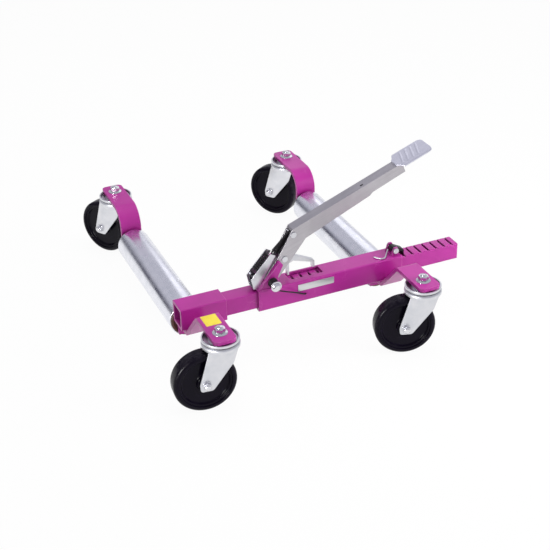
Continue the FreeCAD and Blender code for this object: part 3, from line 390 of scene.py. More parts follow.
def carve(piece: bpy.types.Object, cutter: bpy.types.Object) -> None:
    """Cut one piece's shape out of another and remove the cutter.

    Args:
        piece: The piece that is cut.
        cutter: The shape to cut away.
    """
    cut = piece.modifiers.new("cut", "BOOLEAN")
    cut.operation = "DIFFERENCE"
    cut.solver = "EXACT"
    cut.object = cutter
    whole = piece.data
    result = piece.evaluated_get(bpy.context.evaluated_depsgraph_get())
    piece.data = bpy.data.meshes.new_from_object(result)
    piece.modifiers.clear()
    piece.data.name = piece.name
    piece.data.shade_smooth()
    piece.data.set_sharp_from_angle(angle=math.radians(CRISP))
    shape = cutter.data
    bpy.data.objects.remove(cutter)
    for spare in (whole, shape):
        bpy.data.meshes.remove(spare)


def weld_bead(name: str, paths: Sequence[Sequence[Vector]], radius: float) -> bpy.types.Object:
    """Lay rippled weld beads along paths.

    Args:
        name: Name of the piece.
        paths: Paths of closely spaced points.
        radius: Mean radius of a bead.

    Returns:
        The beads as one piece.
    """
    ripple, ripple_share = 2.4 * MM, 0.10
    wander, wander_share, wander_start = 1.7, 0.06, 1
    forge = Forge()
    for path in paths:
        gone = 0.0
        radii = []
        for i, point in enumerate(path):
            gone += (point - path[i - 1]).length if i else 0.0
            swell = ripple_share * math.sin(math.tau * gone / ripple)
            swell += wander_share * math.sin(gone / ripple * wander + wander_start)
            radii.append(radius * (1 + swell))
        forge.sweep(path, radii, sides=10)
    return forge.done(name, CRISP_WELD)


# Shader sheets and shared effects


class Sheet:
    """A node tree that is written one node at a time."""

    noise_roughness: float = 0.55
    # Places of a mix node's colour sockets, whose names repeat for each type of value
    mix_first, mix_second, mix_result = 6, 7, 2

    def __init__(self, tree: bpy.types.NodeTree) -> None:
        """Take the tree to write in."""
        self.tree = tree

    def wire(self, node: bpy.types.Node, inputs: Inputs) -> None:
        """Join sockets to a node's inputs, and set those that take a plain value.

        Args:
            node: The node.
            inputs: Values or sockets for its inputs, by name or index.
        """
        for name, value in inputs.items():
            if isinstance(value, bpy.types.NodeSocket):
                self.tree.links.new(value, node.inputs[name])
            else:
                node.inputs[name].default_value = value

    def node(self, kind: str, inputs: Inputs | None = None, **settings: object) -> bpy.types.Node:
        """Add a node.

        Args:
            kind: Blender's name of the node type.
            inputs: Values or sockets for the node's inputs, by name or index.
            **settings: Properties of the node.

        Returns:
            The new node.
        """
        made = self.tree.nodes.new(kind)
        for name, value in settings.items():
            setattr(made, name, value)
        self.wire(made, inputs or {})
        return made

    def place(self) -> bpy.types.NodeSocket:
        """Return the piece's own coordinates in metres."""
        return self.node("ShaderNodeTexCoord").outputs["Object"]

    def math(self, operation: str, first: Input, second: Input) -> bpy.types.NodeSocket:
        """Return the result of one operation on two values."""
        return self.node("ShaderNodeMath", {0: first, 1: second}, operation=operation).outputs[0]

    def times(self, first: Input, second: Input) -> bpy.types.NodeSocket:
        """Return the product of two values."""
        return self.math("MULTIPLY", first, second)

    def span(self, value: Input, low: float, high: float, to_low: float = 0.0,
             to_high: float = 1.0) -> bpy.types.NodeSocket:
        """Map a value from one range to another.

        Args:
            value: Socket to map.
            low: Start of its range.
            high: End of its range.
            to_low: Result at the start.
            to_high: Result at the end.

        Returns:
            The mapped value, kept inside the new range.
        """
        made = self.node("ShaderNodeMapRange", {"Value": value, "From Min": low, "From Max": high,
                                                "To Min": to_low, "To Max": to_high})
        return made.outputs["Result"]

    def blend(self, share: Input, first: Input, second: Input) -> bpy.types.NodeSocket:
        """Return a mix of two colours."""
        inputs = {0: share, self.mix_first: first, self.mix_second: second}
        return self.node("ShaderNodeMix", inputs, data_type="RGBA").outputs[self.mix_result]

    def noise(self, scale: float, detail: float,
              vector: bpy.types.NodeSocket | None = None) -> bpy.types.NodeSocket:
        """Return cloudy noise.

        Args:
            scale: Features per metre.
            detail: Number of finer layers.
            vector: Coordinates, or None for the piece's own.

        Returns:
            A value from 0 to 1.
        """
        made = self.node("ShaderNodeTexNoise", {"Vector": vector or self.place(), "Scale": scale,
                                                "Detail": detail, "Roughness": self.noise_roughness})
        return made.outputs["Fac"]

    def stretched(self, scale: Point3, turn: Point3 = (0, 0, 0)) -> bpy.types.NodeSocket:
        """Return the piece's coordinates turned and then scaled along each axis."""
        turned = self.node("ShaderNodeMapping", {"Vector": self.place(), "Rotation": turn}).outputs[0]
        return self.node("ShaderNodeVectorMath", {0: turned, 1: scale}, operation="MULTIPLY").outputs[0]

    def effect(self, tree: bpy.types.NodeTree, **inputs: float) -> bpy.types.Node:
        """Place a shared effect with its own values."""
        return self.node("ShaderNodeGroup", inputs, node_tree=tree)

    def bump(self, height: Input, depth: float, strength: float,
             normal: bpy.types.NodeSocket | None = None) -> bpy.types.NodeSocket:
        """Return a normal raised by a height.

        Args:
            height: Height from 0 to 1.
            depth: What a height of 1 means, in metres.
            strength: Share of the effect.
            normal: Normal to start from, or None for the surface's own.

        Returns:
            The new normal.
        """
        inputs: Inputs = {"Height": height, "Distance": depth, "Strength": strength}
        if normal is not None:
            inputs["Normal"] = normal
        return self.node("ShaderNodeBump", inputs).outputs["Normal"]


class Effects:
    """Shader node groups that several finishes share, each built once."""

    samples: int = 6

    @staticmethod
    def start(name: str, inputs: dict[str, float],
              outputs: dict[str, Socket]) -> tuple[Sheet, bpy.types.Node, bpy.types.Node]:
        """Open a new group.

        Args:
            name: Name of the group.
            inputs: Names of its value inputs with their defaults.
            outputs: Names of its outputs with their kinds.

        Returns:
            The sheet to write in, the group's input node and its output node.
        """
        tree = bpy.data.node_groups.new(name, "ShaderNodeTree")
        for label, default in inputs.items():
            socket = tree.interface.new_socket(label, in_out="INPUT", socket_type=Socket.VALUE.value)
            socket.default_value = default
        for label, kind in outputs.items():
            tree.interface.new_socket(label, in_out="OUTPUT", socket_type=kind.value)
        sheet = Sheet(tree)
        return sheet, sheet.node("NodeGroupInput"), sheet.node("NodeGroupOutput")

    @classmethod
    @cache
    def edge_wear(cls) -> bpy.types.NodeTree:
        """Build the group that finds edges for wear and painted highlight, and rounds their shading.

        Returns:
            The group, with the edge's radius and the spread of the lighter edges as inputs.
        """
        crease, patchy, even = (0.997, 0.92), (0.38, 0.72), 0.5
        sheet, given, result = cls.start("edge_wear", {"Radius": 1 * MM, "Spread": even},
                                         {"Mask": Socket.VALUE, "Normal": Socket.VECTOR})
        soft = sheet.node("ShaderNodeBevel", {"Radius": given.outputs["Radius"]}, samples=cls.samples)
        hard = sheet.node("ShaderNodeNewGeometry").outputs["Normal"]
        facing = sheet.node("ShaderNodeVectorMath", {0: soft.outputs[0], 1: hard}, operation="DOT_PRODUCT")
        edge = sheet.span(facing.outputs["Value"], *crease)
        patches = sheet.span(sheet.noise(scale=95.0, detail=6.0), *patchy)
        patches = sheet.math("ADD", patches, given.outputs["Spread"])
        mask = sheet.node("ShaderNodeMath", {0: edge, 1: sheet.math("SUBTRACT", patches, even)},
                          operation="MULTIPLY", use_clamp=True)
        sheet.wire(result, {"Mask": mask.outputs[0], "Normal": soft.outputs[0]})
        return sheet.tree

    @classmethod
    @cache
    def surface_grain(cls) -> bpy.types.NodeTree:
        """Build the group for fine unevenness in gloss and height.

        Returns:
            The group, with the scales of its grain and of its clouds as inputs.
        """
        fine_share, cloud_share, middle = 0.35, 0.65, (0.32, 0.68)
        sheet, given, result = cls.start("surface_grain", {"Scale": 600.0, "Cloud": 18.0},
                                         {"Height": Socket.VALUE, "Gloss": Socket.VALUE})
        place = sheet.place()
        fine, cloud = (sheet.node("ShaderNodeTexNoise", {"Vector": place, "Scale": given.outputs[label],
                                                         "Detail": detail}).outputs["Fac"]
                       for label, detail in (("Scale", 3.0), ("Cloud", 5.0)))
        both = sheet.math("ADD", sheet.times(fine, fine_share), sheet.times(cloud, cloud_share))
        sheet.wire(result, {"Height": fine, "Gloss": sheet.span(both, *middle)})
        return sheet.tree

    @classmethod
    @cache
    def scuffs(cls) -> bpy.types.NodeTree:
        """Build the group for short thin scratches in patches.

        Returns:
            The group, with the scratches' scale and amount as inputs.
        """
        stretch, lean, turns = (1.0, 0.12, 0.5), (0.3, 0.2), (0.5, 1.9)
        thin, patchy = (0.018, 0.004), (0.56, 0.72)
        sheet, given, result = cls.start("scuffs", {"Scale": 60.0, "Amount": 0.5}, {"Mask": Socket.VALUE})
        lines = []
        for turn in turns:
            cells = sheet.node("ShaderNodeTexVoronoi", {"Vector": sheet.stretched(stretch, (*lean, turn)),
                                                        "Scale": given.outputs["Scale"]},
                               feature="DISTANCE_TO_EDGE")
            lines.append(sheet.span(cells.outputs["Distance"], *thin))
        patches = sheet.span(sheet.noise(scale=24.0, detail=3.0), *patchy)
        both = sheet.times(sheet.math("MAXIMUM", *lines), patches)
        sheet.wire(result, {"Mask": sheet.times(both, given.outputs["Amount"])})
        return sheet.tree

    @classmethod
    @cache
    def settled_grime(cls) -> bpy.types.NodeTree:
        """Build the group for painted shade in corners and hollows, broken into patches.

        Returns:
            The group, with the reach of a corner as its input.
        """
        deep, patchy = (0.75, 0.25), (0.3, 0.65)
        sheet, given, result = cls.start("settled_grime", {"Reach": 12 * MM}, {"Mask": Socket.VALUE})
        # Ambient occlusion: darker where shade falls
        hollow = sheet.node("ShaderNodeAmbientOcclusion", {"Distance": given.outputs["Reach"]},
                            samples=cls.samples)
        patches = sheet.span(sheet.noise(scale=70.0, detail=4.0), *patchy)
        sheet.wire(result, {"Mask": sheet.times(sheet.span(hollow.outputs["AO"], *deep), patches)})
        return sheet.tree


# Finishes


@dataclass(frozen=True)
class Finish:
    """A surface finish that makes one material."""

    name: str = "finish"
    gloss: Point2 = (0.30, 0.50)

    def material(self) -> bpy.types.Material:
        """Make the finish's material on first use.

        Returns:
            The material.
        """
        known = bpy.data.materials.get(self.name)
        if known:
            return known
        made = bpy.data.materials.new(self.name)
        made.use_nodes = True
        made.node_tree.nodes.clear()
        sheet = Sheet(made.node_tree)
        shader = sheet.node("ShaderNodeBsdfPrincipled")
        self.paint(sheet, shader)
        sheet.node("ShaderNodeOutputMaterial", {"Surface": shader.outputs[0]})
        return made

    def paint(self, sheet: Sheet, shader: bpy.types.Node) -> None:
        """Write the finish's nodes; each finish has its own.

        Args:
            sheet: Sheet of the material.
            shader: The material's shader.
        """
        raise NotImplementedError

    def roughness(self, sheet: Sheet, grain: bpy.types.Node) -> bpy.types.NodeSocket:
        """Return a roughness that follows the grain between the two ends of the finish's gloss."""
        return sheet.span(grain.outputs["Gloss"], 0, 1, *self.gloss)


@dataclass(frozen=True)
class PowderCoat(Finish):
    """Glossy magenta powder coat with a fine orange peel, chipped a little and given a painted highlight
    along its edges, and painted shade in its corners and hollows.
    """

    name: str = "magenta_powder_coat"
    colour: Colour = (0.48, 0.024, 0.32, 1)
    deep: Colour = (0.41, 0.019, 0.275, 1)
    # Lighter pink of chipped wear and painted highlight along edges, also used for scratches
    rubbed: Colour = (0.80, 0.22, 0.62, 1)
    # Colour of the painted shade in corners and hollows
    grime: Colour = (0.10, 0.02, 0.07, 1)
    gloss: Point2 = (0.27, 0.40)
    cloudy: Point2 = (0.35, 0.65)
    edge_share: float = 0.6
    # Share of the painted shade in corners and hollows
    grime_share: float = 0.45
    scratch_gloss: float = 0.2
    coat: float = 0.1
    coat_roughness: float = 0.15
    specular: float = 0.35

    def paint(self, sheet: Sheet, shader: bpy.types.Node) -> None:
        """Write the coat's nodes.

        Args:
            sheet: Sheet of the material.
            shader: The material's shader.
        """
        edge = sheet.effect(Effects.edge_wear(), Radius=2.6 * MM, Spread=0.7)
        grain = sheet.effect(Effects.surface_grain(), Scale=420.0, Cloud=16.0)
        dirt = sheet.effect(Effects.settled_grime(), Reach=10 * MM)
        scratch = sheet.effect(Effects.scuffs(), Scale=55.0, Amount=0.35).outputs["Mask"]
        clouds = sheet.span(sheet.noise(scale=9.0, detail=4.0), *self.cloudy)
        colour = sheet.blend(clouds, self.colour, self.deep)
        # Painted highlight along edges, together with chipped wear
        colour = sheet.blend(sheet.times(edge.outputs["Mask"], self.edge_share), colour, self.rubbed)
        colour = sheet.blend(scratch, colour, self.rubbed)
        # Painted shade: darker in corners and hollows, in patches
        colour = sheet.blend(sheet.times(dirt.outputs["Mask"], self.grime_share), colour, self.grime)
        rough = sheet.math("ADD", self.roughness(sheet, grain), sheet.times(scratch, self.scratch_gloss))
        normal = sheet.bump(grain.outputs["Height"], depth=0.6 * MM, strength=0.10,
                            normal=edge.outputs["Normal"])
        sheet.wire(shader, {"Base Color": colour, "Roughness": rough, "Normal": normal,
                            "Coat Weight": self.coat, "Coat Roughness": self.coat_roughness,
                            "Specular IOR Level": self.specular})


@dataclass(frozen=True)
class Metal(Finish):
    """Bare or plated metal with grain, worn edges and painted shade in its corners and hollows."""

    name: str = "metal"
    colour: Colour = (0.7, 0.7, 0.72, 1)
    shade: Colour = (0.6, 0.6, 0.63, 1)
    bright: Colour = (0.85, 0.85, 0.86, 1)
    # Colour of the painted shade in corners and hollows
    grime: Colour = (0.20, 0.19, 0.18, 1)
    gloss: Point2 = (0.28, 0.42)
    edge_share: float = 0.6
    scratch_gloss: float = 0.15
    # Share of the painted shade in corners and hollows
    dirt: float = 0.4

    def lay(self, sheet: Sheet, shader: bpy.types.Node, pattern: bpy.types.NodeSocket,
            height: bpy.types.NodeSocket, depth: float) -> None:
        """Write the nodes that all metals share.

        Args:
            sheet: Sheet of the material.
            shader: The material's shader.
            pattern: Value from 0 to 1 that mixes the two metal colours.
            height: Height of the fine surface from 0 to 1.
            depth: What a height of 1 means, in metres.
        """
        edge = sheet.effect(Effects.edge_wear(), Radius=0.9 * MM, Spread=0.6)
        grain = sheet.effect(Effects.surface_grain(), Scale=500.0, Cloud=22.0)
        dirt = sheet.effect(Effects.settled_grime(), Reach=8 * MM)
        scratch = sheet.effect(Effects.scuffs(), Scale=80.0, Amount=0.5).outputs["Mask"]
        colour = sheet.blend(pattern, self.colour, self.shade)
        colour = sheet.blend(sheet.times(edge.outputs["Mask"], self.edge_share), colour, self.bright)
        # Painted shade: darker in corners and hollows, in patches
        colour = sheet.blend(sheet.times(dirt.outputs["Mask"], self.dirt), colour, self.grime)
        rough = sheet.math("ADD", self.roughness(sheet, grain), sheet.times(scratch, self.scratch_gloss))
        normal = sheet.bump(height, depth, strength=0.25, normal=edge.outputs["Normal"])
        sheet.wire(shader, {"Base Color": colour, "Roughness": rough, "Normal": normal, "Metallic": 1.0})


@dataclass(frozen=True)
class ZincPlate(Metal):
    """Bright zinc plate with faint patches of passivation."""

    name: str = "white_zinc_plate"
    colour: Colour = (0.74, 0.74, 0.77, 1)
    shade: Colour = (0.64, 0.65, 0.69, 1)
    patchy: Point2 = (0.35, 0.68)

    def paint(self, sheet: Sheet, shader: bpy.types.Node) -> None:
        """Write the plating's nodes.

        Args:
            sheet: Sheet of the material.
            shader: The material's shader.
        """
        patches = sheet.span(sheet.noise(scale=38.0, detail=5.0), *self.patchy)
        self.lay(sheet, shader, patches, sheet.noise(scale=700.0, detail=2.0), depth=0.3 * MM)


@dataclass(frozen=True)
class Galvanised(Metal):
    """Galvanised tube with broad crystal spangle."""

    name: str = "galvanised_tube"
    colour: Colour = (0.88, 0.88, 0.94, 1)
    shade: Colour = (0.70, 0.72, 0.79, 1)
    gloss: Point2 = (0.20, 0.34)
    spangle: float = 85.0
    spangle_share: float = 0.3
    streak_share: float = 0.7
    stretch: Point3 = (120.0, 5.0, 120.0)
    contrast: Point2 = (0.2, 0.95)

    def paint(self, sheet: Sheet, shader: bpy.types.Node) -> None:
        """Write the spangle's nodes.

        Args:
            sheet: Sheet of the material.
            shader: The material's shader.
        """
        cells = sheet.node("ShaderNodeTexVoronoi", {"Vector": sheet.place(), "Scale": self.spangle})
        tone = sheet.node("ShaderNodeSeparateColor", {0: cells.outputs["Color"]}).outputs[0]
        streak = sheet.noise(scale=1.0, detail=4.0, vector=sheet.stretched(self.stretch))
        pattern = sheet.math("ADD", sheet.times(tone, self.spangle_share),
                             sheet.times(streak, self.streak_share))
        self.lay(sheet, shader, sheet.span(pattern, *self.contrast), streak, depth=0.3 * MM)


@dataclass(frozen=True)
class BrushedSteel(Metal):
    """Satin steel brushed along one direction."""

    name: str = "satin_steel"
    colour: Colour = (0.62, 0.61, 0.62, 1)
    shade: Colour = (0.50, 0.49, 0.51, 1)
    gloss: Point2 = (0.32, 0.48)
    turn: Point3 = (0, 0, 0)
    stretch: Point3 = (12.0, 900.0, 900.0)
    line_share: float = 0.6
    cloud_share: float = 0.4
    contrast: Point2 = (0.36, 0.64)

    def paint(self, sheet: Sheet, shader: bpy.types.Node) -> None:
        """Write the brushing's nodes.

        Args:
            sheet: Sheet of the material.
            shader: The material's shader.
        """
        lines = sheet.noise(scale=1.0, detail=5.0, vector=sheet.stretched(self.stretch, self.turn))
        clouds = sheet.noise(scale=26.0, detail=4.0)
        pattern = sheet.math("ADD", sheet.times(lines, self.line_share),
                             sheet.times(clouds, self.cloud_share))
        self.lay(sheet, shader, sheet.span(pattern, *self.contrast), lines, depth=0.2 * MM)


@dataclass(frozen=True)
class BlackSteel(Finish):
    """Black oxide on steel, worn grey along its edges."""

    name: str = "black_oxide_steel"
    colour: Colour = (0.010, 0.009, 0.012, 1)
    faded: Colour = (0.020, 0.018, 0.021, 1)
    rubbed: Colour = (0.12, 0.11, 0.12, 1)
    edge_share: float = 0.5
    metallic: float = 0.2
    specular: float = 0.3

    def paint(self, sheet: Sheet, shader: bpy.types.Node) -> None:
        """Write the oxide's nodes.

        Args:
            sheet: Sheet of the material.
            shader: The material's shader.
        """
        edge = sheet.effect(Effects.edge_wear(), Radius=0.7 * MM, Spread=0.5)
        grain = sheet.effect(Effects.surface_grain(), Scale=800.0, Cloud=60.0)
        colour = sheet.blend(grain.outputs["Gloss"], self.colour, self.faded)
        colour = sheet.blend(sheet.times(edge.outputs["Mask"], self.edge_share), colour, self.rubbed)
        normal = sheet.bump(grain.outputs["Height"], depth=0.3 * MM, strength=0.2,
                            normal=edge.outputs["Normal"])
        sheet.wire(shader, {"Base Color": colour, "Normal": normal, "Metallic": self.metallic,
                            "Roughness": self.roughness(sheet, grain),
                            "Specular IOR Level": self.specular})


@dataclass(frozen=True)
class BushPlastic(Finish):
    """Red-brown moulded bearing plastic."""

    name: str = "brown_bush_plastic"
    colour: Colour = (0.15, 0.055, 0.030, 1)
    deep: Colour = (0.09, 0.032, 0.020, 1)
    gloss: Point2 = (0.38, 0.55)

    def paint(self, sheet: Sheet, shader: bpy.types.Node) -> None:
        """Write the plastic's nodes.

        Args:
            sheet: Sheet of the material.
            shader: The material's shader.
        """
        edge = sheet.effect(Effects.edge_wear(), Radius=0.8 * MM, Spread=0.5)
        grain = sheet.effect(Effects.surface_grain(), Scale=900.0, Cloud=45.0)
        colour = sheet.blend(grain.outputs["Gloss"], self.colour, self.deep)
        normal = sheet.bump(grain.outputs["Height"], depth=0.3 * MM, strength=0.25,
                            normal=edge.outputs["Normal"])
        sheet.wire(shader, {"Base Color": colour, "Normal": normal,
                            "Roughness": self.roughness(sheet, grain)})


@dataclass(frozen=True)
class WheelPlastic(Finish):
    """Hard black moulding, glossy on its sides and scuffed grey on its tread."""

    name: str = "black_wheel_moulding"
    colour: Colour = (0.005, 0.0032, 0.010, 1)
    dusty: Colour = (0.022, 0.018, 0.028, 1)
    gloss: Point2 = (0.14, 0.22)
    tread: Point2 = (61.8 * MM, 65.2 * MM)
    patchy: Point2 = (0.36, 0.66)
    tread_share: float = 0.8
    scratch_share: float = 0.6
    edge_share: float = 0.25
    worn_gloss: float = 0.20
    specular: float = 0.10

    def paint(self, sheet: Sheet, shader: bpy.types.Node) -> None:
        """Write the moulding's nodes.

        Args:
            sheet: Sheet of the material.
            shader: The material's shader.
        """
        edge = sheet.effect(Effects.edge_wear(), Radius=0.8 * MM, Spread=0.45)
        grain = sheet.effect(Effects.surface_grain(), Scale=520.0, Cloud=30.0)
        scratch = sheet.effect(Effects.scuffs(), Scale=70.0, Amount=0.8).outputs["Mask"]
        radius = sheet.node("ShaderNodeVectorMath", {0: sheet.place()}, operation="LENGTH")
        tread = sheet.times(sheet.span(radius.outputs["Value"], *self.tread),
                            sheet.span(sheet.noise(scale=120.0, detail=5.0), *self.patchy))
        worn = sheet.math("MAXIMUM", sheet.times(tread, self.tread_share),
                          sheet.times(scratch, self.scratch_share))
        worn = sheet.math("MAXIMUM", worn, sheet.times(edge.outputs["Mask"], self.edge_share))
        colour = sheet.blend(worn, self.colour, self.dusty)
        rough = sheet.math("ADD", self.roughness(sheet, grain), sheet.times(worn, self.worn_gloss))
        normal = sheet.bump(grain.outputs["Height"], depth=0.3 * MM, strength=0.08,
                            normal=edge.outputs["Normal"])
        sheet.wire(shader, {"Base Color": colour, "Roughness": rough, "Normal": normal,
                            "Specular IOR Level": self.specular})


@dataclass(frozen=True)
class LabelFilm(Finish):
    """Plain coloured film with a faint texture and fine scratches."""

    name: str = "yellow_film"
    colour: Colour = (0.93, 0.78, 0.05, 1)
    aged: Colour = (0.85, 0.66, 0.04, 1)
    scratched: Colour = (0.9, 0.85, 0.7, 1)
    gloss: Point2 = (0.30, 0.45)
    scratch_share: float = 0.5

    def paint(self, sheet: Sheet, shader: bpy.types.Node) -> None:
        """Write the film's nodes.

        Args:
            sheet: Sheet of the material.
            shader: The material's shader.
        """
        grain = sheet.effect(Effects.surface_grain(), Scale=900.0, Cloud=55.0)
        scratch = sheet.effect(Effects.scuffs(), Scale=120.0, Amount=0.5).outputs["Mask"]
        colour = sheet.blend(grain.outputs["Gloss"], self.colour, self.aged)
        colour = sheet.blend(sheet.times(scratch, self.scratch_share), colour, self.scratched)
        normal = sheet.bump(grain.outputs["Height"], depth=0.2 * MM, strength=0.15)
        sheet.wire(shader, {"Base Color": colour, "Normal": normal,
                            "Roughness": self.roughness(sheet, grain)})


ARM_TILT = math.radians(21.1)
ARM_TURN: Point3 = (0.0, ARM_TILT, 0.0)
SLOT_FINISHES: dict[Slot, Finish] = {
    Slot.PURPLE: PowderCoat(),
    Slot.STEEL: BrushedSteel(name="turned_steel", stretch=(900.0, 14.0, 900.0)),
    Slot.GALVANISED: Galvanised(),
    Slot.ZINC: ZincPlate(),
    Slot.BLACK: BlackSteel(),
    Slot.BUSH: BushPlastic(),
    Slot.WHEEL: WheelPlastic(),
}
NODE_FINISHES: dict[str, Finish] = {
    "pedal_lever": BrushedSteel(name="satin_lever_steel", colour=(0.55, 0.53, 0.56, 1),
                                shade=(0.46, 0.44, 0.47, 1), turn=ARM_TURN),
}
PAD_STEEL = BrushedSteel(name="satin_pad_steel", colour=(0.80, 0.80, 0.89, 1), shade=(0.72, 0.72, 0.81, 1),
                         gloss=(0.42, 0.56), turn=ARM_TURN, stretch=(60.0, 300.0, 300.0), dirt=0.1)
PLATE_STEEL = BrushedSteel(name="silver_nameplate", colour=(0.72, 0.72, 0.73, 1),
                           shade=(0.62, 0.62, 0.64, 1), dirt=0.2)
BOLT_ZINC = ZincPlate(name="bright_bolt_zinc", gloss=(0.12, 0.24), dirt=0.5)
YELLOW_FILM = LabelFilm()


@dataclass
class Model:
    """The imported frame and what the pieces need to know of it."""

    frame: dict

    def joint(self, name: str) -> Vector:
        """Return a joint's place at rest."""
        joints = self.frame["record"]["behaviour"]["joints"]
        return Vector(next(joint["pos_m"] for joint in joints if joint["name"] == name))

    @property
    def origin(self) -> Vector:
        """Return the sleeve's left end on the beam's axis, on the floor."""
        low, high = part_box("left_sleeve")
        return Vector((low.x, (low.y + high.y) / 2, 0.0))

    def dress_nodes(self) -> None:
        """Give each CAD node its own finish, or that of its slot."""
        subparts = self.frame["record"]["subparts"]
        for subpart in subparts:
            name = subpart["node"]
            finish = NODE_FINISHES.get(name, SLOT_FINISHES[Slot(subpart["material_slot"])])
            data = self.frame["nodes"][name].data
            data.materials.clear()
            data.materials.append(finish.material())
        LOG.info("dressed %d CAD nodes", len(subparts))


def settle(piece: bpy.types.Object, body: str, slot: Slot | None, finish: Finish | None = None,
           replaces: Sequence[str] = ()) -> None:
    """Dress a piece and let it ride on a body.

    Args:
        piece: The piece, in place.
        body: Name of the body that carries it.
        slot: Material slot of the record, if it has one.
        finish: Finish, or None for the slot's own.
        replaces: CAD nodes that the piece stands for.
    """
    piece.data.materials.clear()
    piece.data.materials.append((finish or SLOT_FINISHES[slot]).material())
    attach(piece, body)
    if replaces:
        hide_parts(*replaces)
    LOG.info("piece %s on %s", piece.name, body)


@dataclass
class Assembly:
    """A sub-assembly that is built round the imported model."""

    model: Model

    def build(self) -> None:
        """Build and dress the pieces; each sub-assembly has its own."""
        raise NotImplementedError


# Casters


@dataclass
class Caster(Assembly):
    """A swivel caster: wheel, pressed fork, axle bolt and upper race."""

    corner: Corner
    wheel_radius: float = 65 * MM
    half_width: float = 18 * MM
    shoulder: float = 8 * MM
    bore: float = 9.15 * MM
    hub: float = 19 * MM
    hub_taper: float = 2 * MM
    dish: float = 50.5 * MM
    dish_depth: float = 8 * MM
    ring: float = 3 * MM
    ring_taper: float = 1 * MM
    wheel_rounds: Radii = (0.5 * MM, 1.2 * MM, 3.0 * MM, 3.0 * MM, 1.2 * MM, 0.8 * MM, 1.0 * MM)
    crown_radius: float = 39 * MM
    crown_top: float = 147.4 * MM
    crown_drop: float = 9 * MM
    crown_thick: float = 6.5 * MM
    crown_wall: float = 3 * MM
    crown_rounds: Radii = (0.4 * MM, 0.4 * MM, 3.5 * MM, 1.2 * MM, 1.0 * MM, 1.5 * MM)
    plate_inner: float = 20.5 * MM
    plate_outer: float = 24.5 * MM
    plate_half: float = 30 * MM
    plate_sink: float = 1 * MM
    plate_bevel: float = 0.9 * MM
    plate_rounds: Radii = (2 * MM, 2 * MM, 14 * MM, 8 * MM, 9 * MM, 24 * MM)
    toe: float = 14 * MM
    toe_rise: float = 2 * MM
    toe_taper: float = 1 * MM
    heel: float = 13 * MM
    chin: float = 14 * MM
    back: Point2 = (-19 * MM, 42 * MM)
    pin_hole: float = 6.1 * MM
    shank: float = 6 * MM
    shank_tip: float = 1 * MM
    axle_reach: float = 34.6 * MM
    hexagon: float = 8.6 * MM
    head_height: float = 5.6 * MM
    nut_height: float = 8 * MM
    washer: float = 10 * MM
    washer_thick: float = 1.0 * MM
    washer_gap: float = 0.1 * MM
    washer_round: float = 0.4 * MM
    race_gap: float = 0.2 * MM
    race_boss: float = 23 * MM
    boss_taper: float = 1 * MM
    race_foot: float = 4 * MM
    race_flare: Point2 = (2.5 * MM, 2.2 * MM)
    race_wall: float = 3 * MM
    race_slope: float = 4.5 * MM
    race_lip: float = 0.6 * MM
    race_round: float = 0.9 * MM

    def __post_init__(self) -> None:
        """Read the caster's place from the frame."""
        self.kingpin = self.model.joint(f"swivel_{self.corner.value}")
        self.centre = self.model.joint(f"wheel_spin_{self.corner.value}")
        trail = self.centre - self.kingpin
        self.trail = Vector((trail.x, trail.y)).length
        self.turn = Matrix.Rotation(math.atan2(trail.y, trail.x), 4, "Z")
        self.stand = Matrix.Translation((self.kingpin.x, self.kingpin.y, 0))

    def build(self) -> None:
        """Build all pieces of the caster."""
        self.build_wheel()
        self.build_fork()
        self.build_axle_bolt()
        self.build_race()

    def build_wheel(self) -> None:
        """Turn the wheel with its rounded tread, ring step and dished disc."""
        rim, floor = self.half_width, self.half_width - self.dish_depth
        step, ring = rim - self.ring, self.dish + self.ring
        half = [(self.bore, rim), (self.hub - self.hub_taper, rim), (self.hub, floor),
                (self.dish - self.ring, floor), (self.dish, step), (ring, step),
                (ring + self.ring_taper, rim), (self.wheel_radius, rim)]
        rounds = [*self.wheel_rounds, self.shoulder]
        profile = half + [(r, -h) for r, h in reversed(half)]
        forge = Forge()
        forge.turn(round_corners(profile, rounds + rounds[::-1]), ALONG_Y, segments=128)
        wheel = forge.done(f"moulded_wheel_{self.corner.value}", turn=self.turn)
        wheel.matrix_world = Matrix.Translation(self.centre)
        settle(wheel, f"caster_wheel_{self.corner.value}", Slot.WHEEL,
               replaces=[f"wheel_{self.corner.value}"])

    def build_fork(self) -> None:
        """Press the fork's cup-shaped crown and its two tapering plates."""
        rim, top = self.crown_radius, self.crown_top
        low, skirt = top - self.crown_thick, top - self.crown_drop
        cup = [(self.pin_hole, low), (self.pin_hole, top), (rim, top), (rim, skirt),
               (rim - self.crown_wall, skirt), (rim - self.crown_wall, low)]
        forge = Forge()
        forge.turn(round_corners(cup, self.crown_rounds))
        axle, root = self.wheel_radius, low + self.plate_sink
        toe, heel = self.trail + self.toe, self.trail - self.heel
        outline = [(-self.plate_half, root), (self.plate_half, root), (toe, axle + self.toe_rise),
                   (toe - self.toe_taper, axle - self.chin), (heel, axle - self.chin),
                   (self.back[0], axle + self.back[1])]
        edge = round_corners(outline, self.plate_rounds, steps=8)
        for side in (-1, 1):
            forge.plate(edge, side * self.plate_inner, side * self.plate_outer, self.plate_bevel)
        fork = forge.done(f"pressed_fork_{self.corner.value}", turn=self.turn)
        fork.matrix_world = self.stand
        settle(fork, f"caster_{self.corner.value}", Slot.ZINC, replaces=[f"fork_{self.corner.value}"])

